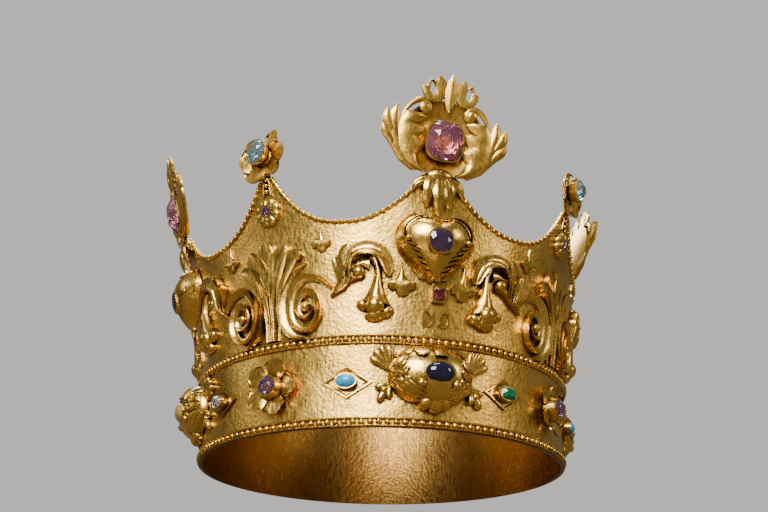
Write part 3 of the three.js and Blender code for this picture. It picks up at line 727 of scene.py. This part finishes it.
def bell(shape, angle, height, k, side):
    """Hanging bell leaf, k times full size: a trumpet neck that flares over a skirt with three lobes."""
    wall = on_wall(shape, angle, height)
    place = Place(shape, lambda u, v, lift: wall(side * k * u, k * v, k * lift))
    place.strip(22, [(-0.2, 11.2), (-0.7, 7.0), (-1.8, 3.6), (-4.2, 1.0)],
                [(0.5, 11.2), (0.9, 7.0), (2.0, 3.6), (4.2, 1.0)],
                lambda s, t: 0.6 + 1.0 * t * t + 0.7 * (1 - s * s))
    skirt = [(-6.6, 0.2), (-5.8, -1.8), (-3.8, -2.4), (-2.8, -4.6), (-0.4, -5.4), (2.0, -4.6), (3.0, -2.4),
             (5.2, -2.4), (6.5, -0.6)]
    place.strip(46, [(-6.6, 1.7), (-3.0, 1.5), (0, 1.3), (3.0, 1.5), (6.5, 1.2)], skirt,
                lambda s, t: 2.2 - 0.6 * s + 0.7 * (1 - s * s), across=9)


def neck_flower(shape, angle):
    """Eight petals around a small stone, with beads on a stalk above."""
    place = on_wall(shape, angle, NECK_FLOWER_HEIGHT)
    for i in range(8):
        turn = (i + 0.5) / 8 * FULL_TURN
        tip = (7.2 * math.sin(turn), 7.2 * math.cos(turn))
        place.band([(0.3 * tip[0], 0.3 * tip[1]), (0.65 * tip[0], 0.65 * tip[1]), tip],
                   leaf_width(5.0, 0.6, 0.5), lambda t: 1.6 - 0.9 * t, 1.5, steps=16)
    place.collet(6.2, 6.2, 0.5, 3.0, flare=1.15)
    for i in range(3):
        place.ball(0.0, 10.4 + 2.9 * i, 0.7, 1.25, around=10, rings=6)
    for side in (-1, 1):
        place.band([(side * 1.9, 8.6), (side * 1.7, 14), (side * 1.5, 17)], 0.9, 0.5, 0.5, steps=12)


def lozenge(shape, angle):
    """Flat lozenge with a raised rim and a cup for its stone."""
    place = on_wall(shape, angle, LOZENGE_HEIGHT)
    corners = [(0, 7.3), (11.6, 0), (0, -7.3), (-11.6, 0)]
    outline = through(corners + [corners[0]], 25)[:-1]
    place.dome(outline, lambda r: 0.9 + 0.35 * (r > 0.88) - 0.2 * (r < 0.8), rings=10)
    place.collet(10.0, 7.2, 0.6, 4.2, flare=1.03)


def oval_side_leaves(shape, angle, side):
    place = on_wall(shape, angle, OVAL_HEIGHT).moved(mirror=side)
    for tip, width in (((26.2, 11.2), 4.4), ((23.4, 13.4), 4.2), ((19.8, 13.6), 3.8), ((28, 7.6), 3.6)):
        place.band([(18.6, 1.5), (0.5 * (18.6 + tip[0]) - 0.4, 0.5 * (1.5 + tip[1])), tip],
                   leaf_width(width, 0.7, 0.35), lambda t: 0.5 + 0.9 * t, 1.5, steps=24)
    for tip, width in (((25.6, -6.4), 3.6), ((24.2, -13.2), 3.8), ((19.2, -11.6), 3.2)):
        place.band([(18.6, -4.6), (0.5 * (18.6 + tip[0]) + 0.4, 0.5 * (tip[1] - 4.6)), tip],
                   leaf_width(width, 0.6, 0.4), lambda t: 0.6 + 0.7 * t, 1.7, steps=20)
    place.ball(21.6, -7.6, 1.4, 1.9, around=14, rings=8)


def garnet_seat(shape, angle):
    place = on_wall(shape, angle + GARNET_TURN, GARNET_HEIGHT)
    place.collet(6.9, 7.8, -0.4, 2.5, flare=1.0, wall=0.75, square=14.0)
    # Two hollow leaves below the stone, each a raised rim around a low middle
    outline = oval_outline(5.0, 9.4, 28)
    outline[:, 0] *= np.clip(1.0 - outline[:, 1] / 9.0, 0.35, 1.35)
    shares, lifts = np.array([1.0, 0.97, 0.78, 0.64])[:, None], np.array([-0.3, 0.9, 0.9, 0.1])[:, None]
    for side in (-1, 1):
        leaf = place.moved(side * 4.3 - 1.0, -11.0, spin=-side * 14)
        leaf.body(shares * outline[:, 0], shares * outline[:, 1], lifts + 0 * outline[:, 0])


def make_foliage():
    leaves, scrolls = Shape(), Shape()
    for turn in SIDES.values():
        palmette(leaves, turn + 45)
        neck_flower(leaves, turn + 45)
        garnet_seat(leaves, turn)
        for side in (-1, 1):
            scroll(scrolls, turn + side * 18, side)
            volute(scrolls, turn + side * 34, side)
            bell(leaves, turn + side * 8.5, 66.0, 1.0, side)
            bell(leaves, turn + side * 30.0, 87.0, 0.75, side)
            lozenge(leaves, turn + side * LOZENGE_TURN)
            oval_side_leaves(leaves, turn, side)
    leaves.piece("applied_leaves", RAISED_GOLD, ["crown_body"])
    scrolls.piece("applied_scrolls", RAISED_GOLD, ["crown_body"])


# Cartouches


def heart_outline():
    half = [(0, 11.6), (4, 12.6), (9, 13.2), (13.6, 11.6), (17.4, 7.4), (19, 2.4), (18, -2.6), (15, -7.2),
            (10.6, -11.2), (5.6, -15), (1.6, -18.2)]
    right = curve(half, 60)
    left = right[::-1] * np.array([-1, 1])
    return np.vstack([right, left[:-1]])


def make_heart(angle, side):
    """Egg-shaped body with a curled leaf on each upper lobe and overlapping feathers on the lower flanks."""
    shape = Shape()
    place = on_wall(shape, angle, HEART_HEIGHT)
    outline = heart_outline()
    body = Mound(outline, (0.4, 0.4), FIT_GAP + 0.9, 11.2, 0.66)
    place.dome(outline, body.level, rings=26, middle=body.middle, sink=FIT_GAP)

    # Cusped edge along the top, above the smooth body
    cusps = [(-8.6, 12.9), (-6.4, 10.8), (-4.2, 12.0), (-1.6, 9.9), (0.6, 11.2), (2.6, 9.4), (4.4, 11.4),
             (7.0, 9.8), (9.4, 12.6)]
    place.band(cusps, 1.5, 0.1, 0.9, steps=70, across=7, sink=body)
    for mirror in (-1, 1):
        flank = place.moved(mirror=mirror)
        ground = lambda u, v: body(mirror * u, v)
        # Crescent leaf that hugs the upper lobe and ends in a small curl
        path = [(5.2, 12.6), (10.6, 12.0), (15.0, 9.0), (17.2, 4.4), (17.0, 0.2), (15.0, -1.6), (13.2, -0.2)]
        flank.band(path, band_width(3.8, 0.2, 0.5), 0.3, 1.5, gutter, steps=46, across=11, sink=ground)
        flank.band([(7.2, 10.4), (11.2, 9.0), (14.0, 6.0), (14.8, 2.8)], band_width(1.5, 0.2, 0.4), 0.2, 0.8,
                   steps=28, across=7, sink=ground)
        flank.ball(13.6, -0.4, float(body(mirror * 13.6, -0.4)) + 0.5, 1.5, around=14, rings=8)
        # Feathers that sweep down along the edge, each lying over the next one
        for i in range(6):
            share = i / 5
            start = np.array([18.4, 0.4]) * (1 - share) + np.array([8.2, -12.4]) * share
            tip = start + np.array([-9.0, -4.4]) * (1 - 0.3 * share)
            middle = 0.5 * (start + tip) + np.array([0.9, -1.3])
            flank.band([start, middle, tip], pointed(2.8, 0.5, 0.35), 0.15, 1.5,
                       lambda s: 0.55 - 0.45 * s, steps=26, across=9, sink=ground)
    place.ball(1.6, -16.9, 2.6, 1.5, around=14, rings=8)
    # Tapering neck down to the garnet
    place.strip(12, [(-3.6, -14.6), (-0.6, -18.0), (-0.8, -20.0)], [(5.2, -14.6), (3.4, -18.0), (3.6, -20.0)],
                lambda s, t: 1.3 - 0.5 * t + 0.9 * (1 - s * s) * (1 - 0.4 * t), sink=FIT_GAP)
    place.collet(11.2, 12.2, 8.8, 12.0, flare=1.16, square=2.6, middle=HEART_STONE_MIDDLE)
    shape.piece(f"heart_{side}", RAISED_GOLD, [f"heart_cartouche_{side}"])


def make_oval(angle, side):
    """Egg-shaped body with tabs along its top, curls and gadroons on its flanks and a three-lobed foot."""
    shape = Shape()
    place = on_wall(shape, angle, OVAL_HEIGHT)
    outline = oval_outline(40.0, 27.0, 120, 2.2)
    body = Mound(outline, (0.0, 0.0), FIT_GAP + 0.9, 10.2, 0.6)
    place.dome(outline, body.level, rings=24, sink=FIT_GAP)

    # Half-round tab, square tab and leafy edges along the top
    place.strip(25, [(-9.2, 11.8), (-9.0, 9.4), (-7.8, 7.4), (-5.8, 6.6)],
                [(-2.6, 12.4), (-2.7, 9.4), (-3.8, 7.4), (-5.6, 6.6)], lambda s, t: 1.7 + 0.2 * (1 - s * s),
                sink=body)
    place.strip(15, [(-0.8, 12.6), (-0.6, 6.8)], [(5.2, 12.4), (4.8, 6.6)],
                lambda s, t: 1.7 + 0.2 * (1 - s * s), sink=body)
    for mirror in (-1, 1):
        flank = place.moved(mirror=mirror)
        ground = lambda u, v: body(mirror * u, v)
        shift = 2.4 if mirror > 0 else 0.0
        flank.band([(8.8 + shift, 12.2), (12.8 + shift, 9.8), (16.6, 7.0)], leaf_width(4.6, 0.5, 0.5), 0.3,
                   1.2, ridged, steps=26, across=11, sink=ground)
        flank.band([(12.0, 6.6), (15.2, 5.6), (18.4, 2.0)], pointed(2.6, 0.5, 0.5), 0.2, 0.9, ridged,
                   steps=22, across=9, sink=ground)
        # Curls that open towards the stone
        for tip, bend, start in (
            ((12.8, 5.2), (14.6, 2.6), (18.2, 4.4)),
            ((11.8, 0.6), (14.0, -1.6), (18.8, 0.6)),
            ((11.4, -3.8), (14.0, -5.2), (18.2, -3.2)),
        ):
            flank.band([start, bend, tip], band_width(2.3, 0.4, 0.7), 0.2, 1.1, steps=26, across=9,
                       sink=ground)
            flank.ball(tip[0], tip[1], float(body(mirror * tip[0], tip[1])) + 0.3, 1.15, around=12, rings=7)
        # Long gadroons that follow the lower edge
        for k in range(4):
            inset = 1.0 - 0.10 * k
            path = [(18.6 * inset, -4.2 * inset), (15.4 * inset, -8.4 * inset), (10.4 * inset, -11.4 * inset),
                    (4.4 * inset + 0.6, -12.6 * inset)]
            flank.band(path, pointed(2.3, 0.35, 0.5), 0.2, 1.2, steps=34, across=7, sink=ground)
    for u, v, size in ((-6.0, -6.0, 2.1), (9.2, -5.6, 2.3)):
        place.ball(u, v, float(body(u, v)) + 0.4, size, squash=0.8, around=18, rings=10)
    # Plain bridge from the stone down to the foot
    place.strip(14, [(-4.0, -4.6), (-4.4, -9.0), (-1.8, -12.6)], [(6.6, -4.6), (6.4, -9.0), (4.4, -12.6)],
                lambda s, t: 0.4 + 0.5 * (1 - s * s) + 0.8 * t, sink=body)
    for tip, width in (((-5.6, -14.8), 5.6), ((1.4, -17.4), 5.8), ((8.0, -14.6), 5.2)):
        place.band([(1.4, -9.4), (0.5 * (1.4 + tip[0]), 0.5 * (tip[1] - 9.8)), tip],
                   leaf_width(width, 0.7, 0.6), lambda t: 5.4 - 3.2 * t, 1.9, steps=22, sink=FIT_GAP)
    place.collet(13.9, 10.8, 7.8, 10.9, flare=1.14, middle=OVAL_STONE_MIDDLE)
    shape.piece(f"oval_{side}", RAISED_GOLD, [f"oval_cartouche_{side}"])


def ruffled_petal(place, turn, reach, width, start, cup, thickness=0.8, wave=0.5):
    """Broad petal that dips near its base and curls up at a wavy rim."""
    rows, columns = 16, 15
    t = np.linspace(0, 1, rows)[:, None]
    s = np.linspace(-1, 1, columns)[None, :]
    half = 0.5 * width * (0.30 + 0.70 * np.sin(np.clip(t * 1.25, 0, 1) * math.pi / 2))
    round_off = np.sqrt(np.clip(1.04 - (0.85 * s) ** 2 * t ** 3, 0.1, 1.1))
    radial = start + (reach - start) * t * round_off
    side = half * s * np.ones_like(t)
    swell = 1.1 * np.cos(s * math.pi * 0.5) * np.sin(t * math.pi)
    lift = cup * t ** 1.6 + swell + wave * t * t * np.cos(s * 6.0)
    c, sn = math.cos(turn), math.sin(turn)
    u = radial * sn + side * c
    v = radial * c - side * sn
    lift = lift * np.ones_like(u) - 0.7 * t * np.exp(-((s / 0.22) ** 2))
    place.leaf(u, v, lift, thickness)


def make_band_flower(angle, corner):
    """Five ruffled petals around a stone, in the lower zone."""
    shape = Shape()
    place = on_wall(shape, angle, BAND_FLOWER_HEIGHT)
    base = place.moved(rise=FIT_GAP + 1.4)
    for i in range(5):
        turn = (i + 0.28) / 5 * FULL_TURN
        ruffled_petal(base, turn, 13.4, 11.2, 2.6, 3.2, wave=0.35)
    base.dome(oval_outline(12, 12, 40), lambda r: 3.4 * half_ball(r), rings=8, sink=-1.0)
    place.collet(9.9, 9.9, 2.6, 6.6, flare=1.2)
    shape.piece(f"flower_{corner}", RAISED_GOLD, [f"band_flower_{corner}"])


def make_flower_finial(angle, corner):
    """Six uneven petals around a tilted stone, on a small point."""
    shape = Shape()
    place = in_finial(shape, angle, *SMALL_FINIAL)
    base = place.moved(0, 10.2, rise=2.2)
    petals = [(-50, 12.0, 12.0, 3.2), (34, 14.6, 7.6, 2.2), (86, 12.6, 13.0, 2.8), (140, 12.6, 11.5, 2.6),
              (-148, 14.4, 14.0, 3.2), (-98, 13.4, 13.0, 3.6)]
    for turn, reach, width, cup in petals:
        ruffled_petal(base, turn * DEGREE, reach, width, 1.6, cup, wave=0.3)
    base.dome(oval_outline(9, 9, 32), lambda r: 1.2 + 1.4 * (1 - r), rings=6, sink=-1.0)
    # Stem that holds the flower on the point
    place.strip(14, [(-2.6, -1.0), (-1.8, 4.0), (-2.4, 9.0)], [(2.6, -1.0), (1.8, 4.0), (2.4, 9.0)],
                lambda s, t: 2.0 + 0.5 * (1 - s * s), thickness=1.2)
    place.moved(*BLUE_MIDDLE, spin=BLUE_SPIN).collet(10.9, 13.4, 2.6, 9.2, flare=0.58)
    shape.piece(f"flower_top_{corner}", FINIAL_GOLD, [f"flower_finial_{corner}"])


def make_calyx(angle, side):
    """Cap with five drooping pointed leaves whose tips stand off the wall."""
    shape = Shape()
    place = on_wall(shape, angle, CALYX_HEIGHT)
    rest = 1.4
    leaves = [((-12.6, -8.4), 5.0, 1.2), ((12.6, -9.2), 5.0, 1.2), ((-5.6, -15.2), 6.6, 3.4),
              ((5.4, -15.2), 6.6, 3.4), ((0.2, -20.0), 7.2, 4.4)]
    for tip, width, rise in leaves:
        path = [(0.16 * tip[0], 0.4), (0.55 * tip[0], -2.6), (0.86 * tip[0], 0.55 * tip[1]), tip]
        place.band(path, pointed(width, 0.6, 0.42),
                   lambda t, r=rise: rest + r * np.sin(math.pi * np.clip(0.04 + 0.82 * t, 0, 1)), 1.2,
                   lambda s: 1.0 - 0.8 * s * s - 0.25 * np.exp(-(s / 0.16) ** 2), thickness=1.0, steps=34,
                   across=13)
    cap = oval_outline(14.4, 8.0, 48) + np.array([0, -0.6])
    place.dome(cap, lambda r: rest + 3.8 * half_ball(r), rings=14, middle=(0, -0.6), sink=rest)
    shape.piece(f"drooping_leaves_{side}", RAISED_GOLD, [f"calyx_{side}"])


def make_large_finial(angle, side):
    """Dished shell with two cupped acanthus leaves, curled arms, outer sprays and a pierced top palmette."""
    shape = Shape()
    place = in_finial(shape, angle, *LARGE_FINIAL)
    middle = (0, 19.0)

    shell = oval_outline(42.0, 36.5, 96, 2.05) + np.array(middle)
    share = np.linspace(1.0, 0.03, 16)
    u = middle[0] + share[:, None] * (shell[:, 0] - middle[0])[None, :]
    v = middle[1] + share[:, None] * (shell[:, 1] - middle[1])[None, :]
    front = 0.9 + 3.0 * share[:, None] ** 2.4 + 0 * u
    back = front - 0.9
    place.body(np.vstack([u[::-1], u]), np.vstack([v[::-1], v]), np.vstack([back[::-1], front]))

    inner_edge = [(6.4, 0.8), (9.6, 3.0), (11.6, 6.0), (12.0, 8.6), (10.6, 11.2), (8.6, 14.0), (10.8, 15.6),
                  (12.8, 17.0), (10.4, 19.6), (9.2, 22.6), (12.0, 23.4), (15.4, 22.6), (12.8, 25.0),
                  (10.0, 28.0), (11.0, 29.2), (14.6, 29.2), (18.6, 27.4)]
    outer_edge = [(7.2, 0.0), (11.8, 1.2), (15.6, 3.2), (18.4, 5.6), (20.4, 8.2), (21.8, 11.0), (22.6, 13.8),
                  (23.0, 16.4), (23.2, 18.4), (23.2, 20.4), (23.0, 22.2), (22.7, 24.0), (22.3, 25.4),
                  (21.9, 26.6), (21.6, 27.6), (21.2, 28.4), (20.8, 29.0)]
    for mirror in (-1, 1):
        half = place.moved(mirror=mirror)
        # Acanthus leaf: three lobes point inwards and its outer edge is the rim of the shell
        half.strip(97, inner_edge, outer_edge, lambda s, t: 4.4 + 0.5 * s + 1.3 * (1 - s * s), across=15,
                   thickness=1.1)
        # Slender arm that rises from the leaf and ends in a round curl
        half.band([(21.8, 26.4), (20.4, 30.0), (17.6, 33.6), (14.4, 35.6), (11.4, 35.2), (9.8, 32.8),
                   (10.8, 30.6), (12.8, 30.6)], lambda t: 1.7 + 2.0 * t, 4.6, 1.1, thickness=1.2,
                  steps=60, across=9)
        half.ball(12.0, 32.4, 4.9, 2.7, squash=0.42, around=22, rings=10)
        # Outer spray of three leaves on one stalk
        half.strip(25, [(9.0, 1.6), (15.0, 5.4), (19.0, 10.4), (21.4, 17.4)],
                   [(14.0, 0.6), (20.8, 4.4), (25.6, 10.4), (28.0, 18.4)],
                   lambda s, t: 3.4 + 1.0 * t + 0.8 * (1 - s * s), thickness=1.3)
        for path, width in (
            ([(22.6, 12.0), (24.4, 19.0), (25.6, 25.0), (25.0, 31.6)], 5.4),
            ([(23.8, 12.6), (27.0, 19.6), (29.0, 23.6), (30.0, 28.4)], 5.4),
            ([(23.0, 9.6), (26.2, 14.4), (29.0, 17.2), (31.4, 20.6)], 5.0),
        ):
            half.band(path, pointed(width, 0.5, 0.6), lambda t: 3.4 + 1.2 * t, 1.3, lambda s: 1 - 0.7 * s * s,
                      thickness=1.1, steps=30, across=9)

    plate = [(2.6, 46.4), (4.4, 48.0), (6.2, 49.6), (7.4, 47.8), (8.2, 46.0), (9.4, 46.6), (10.8, 47.0),
             (11.2, 45.0), (12.2, 43.4), (14.8, 42.8), (14.2, 40.6), (13.0, 38.0), (10.8, 35.8), (8.0, 35.0),
             (5.2, 35.8), (3.4, 37.4), (1.6, 40.4), (1.8, 44.0)]
    hole = [(9.8, 46.0), (10.5, 43.2), (10.3, 40.6), (9.0, 39.0), (7.6, 40.2), (7.8, 42.6), (8.8, 44.8)]
    for mirror in (-1, 1):
        place.moved(mirror=mirror).pierced(plate, hole, (9.0, 41.8), 5.6, 1.3)
    place.band([(0, 31.6), (0, 40.0), (0, 50.6)],
               lambda t: 6.2 * np.maximum(np.sin(math.pi * np.clip(t, 0.02, 0.985)) ** 0.8, 0.04),
               5.8, 0.9, ridged, thickness=1.6, steps=40, across=9)
    place.collet(19.2, 20.6, 1.4, 6.0, flare=0.8, square=3.0, middle=PINK_MIDDLE)
    shape.piece(f"leaf_finial_{side}", FINIAL_GOLD, [f"large_finial_{side}"])


# Stones


def faceted(name, material, node, place, *sizes):
    """Piece of one cut stone. node is the solid that it stands in for, if there is one."""
    place.brilliant(*sizes)
    place.shape.piece(name, material, [node] if node else [], 1.0)


def smooth(name, material, node, place, *sizes):
    place.cabochon(*sizes)
    place.shape.piece(name, material, [node], 60)


def make_side_stones(turn, side):
    heart, oval = on_wall(Shape(), turn, HEART_HEIGHT), on_wall(Shape(), turn, OVAL_HEIGHT)
    finial = in_finial(Shape(), turn, *LARGE_FINIAL)
    seat = on_wall(Shape(), turn + GARNET_TURN, GARNET_HEIGHT)
    faceted(f"heart_gem_{side}", PURPLE, f"heart_stone_{side}", heart, 10.0, 11.0, 9.2, 12.1, 13.4, 2.6,
            HEART_STONE_MIDDLE)
    faceted(f"pink_gem_{side}", PINK, f"pink_stone_{side}", finial, 17.6, 19.0, 1.9, 6.6, 10.4, 2.9,
            PINK_MIDDLE, 11)
    faceted(f"garnet_gem_{side}", GARNET, f"garnet_{side}", seat, 5.4, 6.2, 0.9, 2.4, 3.7, 14.0, (0, 0), 4)
    smooth(f"oval_gem_{side}", YELLOW if side == "left" else DARK_BLUE, f"oval_stone_{side}", oval, 12.8, 9.7,
           10.0, 13.9, OVAL_STONE_MIDDLE)
    right = on_wall(Shape(), turn + LOZENGE_TURN, LOZENGE_HEIGHT)
    left = on_wall(Shape(), turn - LOZENGE_TURN, LOZENGE_HEIGHT)
    node = f"lozenge_stone_{side}_right"
    if side == "left":
        faceted(f"clear_gem_{side}", CLEAR, node, right, 8.8, 6.0, 1.6, 4.0, 6.0)
    else:
        faceted(f"emerald_gem_{side}", EMERALD, node, right, 8.2, 6.0, 1.6, 4.0, 6.0, 5.0)
    smooth(f"turquoise_gem_{side}", TURQUOISE, f"lozenge_stone_{side}_left", left, 9.2, 6.4, 3.4, 6.3)


def make_corner_stones(turn, corner):
    band, neck = on_wall(Shape(), turn, BAND_FLOWER_HEIGHT), on_wall(Shape(), turn, NECK_FLOWER_HEIGHT)
    tilted = in_finial(Shape(), turn, *SMALL_FINIAL).moved(*BLUE_MIDDLE, spin=BLUE_SPIN)
    faceted(f"flower_gem_{corner}", PURPLE, f"band_stone_{corner}", band, 8.8, 8.8, 4.2, 6.2, 8.4)
    faceted(f"neck_gem_{corner}", PURPLE, None, neck, 5.2, 5.2, 1.2, 2.8, 4.0)
    faceted(f"blue_gem_{corner}", PALE_BLUE, f"blue_stone_{corner}", tilted, 10.2, 12.7, 5.0, 8.8, 11.4)


make_wall()
make_rim_beading()
make_ring_beading("belt_beads", 40.4, 1.75, 3.6, 1.5, "belt_beading")
make_ring_beading("foot_beads", 2.3, 1.7, 3.9, 1.5, "foot_beading")
make_foliage()
for side_name, side_angle in SIDES.items():
    make_heart(side_angle, side_name)
    make_oval(side_angle, side_name)
    make_calyx(side_angle, side_name)
    make_large_finial(side_angle, side_name)
for corner_name, corner_angle in CORNERS.items():
    make_band_flower(corner_angle, corner_name)
    make_flower_finial(corner_angle, corner_name)
for side_name, side_angle in SIDES.items():
    make_side_stones(side_angle, side_name)
for corner_name, corner_angle in CORNERS.items():
    make_corner_stones(corner_angle, corner_name)


# Camera, floor and light


def stage_object(name, data):
    thing = bpy.data.objects.new(name, data)
    bpy.context.scene.collection.objects.link(thing)
    return thing


def add_camera():
    """The photograph's view: from below the foot, looking up at the crown."""
    distance, height, turn = 562.6, -118.5, 13.3 * DEGREE
    pitch, roll = 23.33 * DEGREE, 0.75 * DEGREE
    ahead = Vector((math.sin(turn), math.cos(turn), 0))
    right = Vector((math.cos(turn), -math.sin(turn), 0))
    look = ahead * math.cos(pitch) + Vector((0, 0, math.sin(pitch)))
    up = right.cross(look)
    axes = (right * math.cos(roll) + up * math.sin(roll), up * math.cos(roll) - right * math.sin(roll), -look)
    data = bpy.data.cameras.new("camera")
    data.lens = 50.0
    data.sensor_width = 36.0
    data.clip_start = 0.01
    camera = stage_object("camera", data)
    place = -ahead * distance * MM
    place.z = height * MM
    camera.matrix_world = Matrix.Translation(place) @ Matrix(axes).transposed().to_4x4()
    bpy.context.scene.camera = camera


def floor_surface():
    """Seen pale from above, with a far edge that fades out. The crown's own mirror image of it is darker."""
    fade_start, fade_end = 0.16, 0.75
    m = Surface("floor")
    pale = m.ramp(m.noise(6.0), (0.3, (0.60, 0.58, 0.55)), (0.7, (0.66, 0.64, 0.61)))
    m.set({"Base Color": pale, "Roughness": 0.7})
    reach = m.node("VectorMath", {0: m.object_space()}, "Value", operation="LENGTH")
    far = m.spread(reach, 0.0, 1.0, fade_start, fade_end)
    below = m.node("NewGeometry", {}, "Backfacing")
    hidden = m.node("Math", {0: below, 1: far}, operation="MAXIMUM")
    dark = m.node("BsdfDiffuse", {"Color": (0.13, 0.11, 0.09)})
    seen = m.node("LightPath", {}, "Is Camera Ray")
    ground = m.node("MixShader", {0: seen, 1: dark, 2: m.shader.outputs[0]})
    mixed = m.node("MixShader", {0: hidden, 1: ground, 2: m.node("BsdfTransparent", {})})
    m.feed(m.tree.nodes["Material Output"], {"Surface": mixed})
    return m.material


def add_floor():
    """Pale floor, left open in a narrow ring below the sheet, so that the foot's edge stays in the light."""
    far_edge, slot_inside, slot_outside, corners = 3.0, 0.0925, 0.0965, 96
    turn = np.linspace(0, FULL_TURN, corners, endpoint=False)
    rings = [np.stack([r * np.cos(turn), r * np.sin(turn), 0 * turn], axis=-1)
             for r in (slot_inside, slot_outside, far_edge)]
    faces = [tuple(range(corners))]
    for c in range(corners):
        d = (c + 1) % corners
        faces.append((corners + c, 2 * corners + c, 2 * corners + d, corners + d))
    mesh = bpy.data.meshes.new("floor")
    mesh.from_pydata(np.concatenate(rings).tolist(), [], faces)
    mesh.materials.append(floor_surface())
    stage_object("floor", mesh)


def add_light(name, azimuth, elevation, distance, size, power, colour):
    """Area light that faces the crown's middle. Its angles are degrees from the front and above the floor."""
    data = bpy.data.lights.new(name, "AREA")
    data.shape = "RECTANGLE"
    data.size, data.size_y = size
    data.energy = power
    data.color = colour
    a, e = azimuth * DEGREE, elevation * DEGREE
    where = Vector((math.sin(a) * math.cos(e), -math.cos(a) * math.cos(e), math.sin(e))) * distance
    lamp = stage_object(name, data)
    lamp.location = Vector((0, 0, 0.08)) + where
    lamp.rotation_euler = (-where).to_track_quat("-Z", "Y").to_euler()


def add_world():
    """Plain pale backdrop. What the gold mirrors is dimmer, with soft patches of light and dark."""
    dark_patch, light_patch, brightness = (0.10, 0.08, 0.07), (0.80, 0.74, 0.66), 0.30
    backdrop = (0.62, 0.60, 0.57)
    world = bpy.data.worlds.new("studio")
    bpy.context.scene.world = world
    world.use_nodes = True
    w = Nodes(world.node_tree)
    around = w.node("TexCoord", {}, "Generated")
    height = w.node("SeparateXYZ", {0: around}, "Z")
    patches = w.node("TexNoise", {"Vector": around, "Scale": 2.6, "Detail": 1.0})
    slope, unevenness = w.spread(height, 0.0, 1.0, -1.0, 1.0), w.spread(patches, -0.28, 0.28, 0.35, 0.65)
    level = w.node("Math", {0: slope, 1: unevenness})
    back = w.tree.nodes["Background"]
    w.feed(back, {"Color": w.ramp(level, (0.15, dark_patch), (0.85, light_patch)), "Strength": brightness})
    seen = w.node("Background", {"Color": backdrop, "Strength": 1.0})
    mixed = w.node("MixShader", {0: w.node("LightPath", {}, "Is Camera Ray"), 1: back.outputs[0], 2: seen})
    w.feed(w.tree.nodes["World Output"], {"Surface": mixed})


add_camera()
add_floor()
add_world()
add_light("key", -25, 21, 1.1, (0.50, 0.55), 23, (1.0, 0.94, 0.84))
add_light("fill", 50, 16, 1.3, (0.26, 0.40), 3, (1.0, 0.84, 0.64))
add_light("side", -100, 20, 1.3, (0.30, 0.50), 1.5, (1.0, 0.90, 0.78))
add_light("top", -10, 78, 1.2, (0.5, 0.5), 12, (1.0, 0.95, 0.88))
add_light("low", -34, -30, 1.0, (0.5, 0.16), 4.5, (1.0, 0.78, 0.52))
add_light("back", 180, 40, 1.3, (0.8, 0.5), 12, (1.0, 0.95, 0.9))
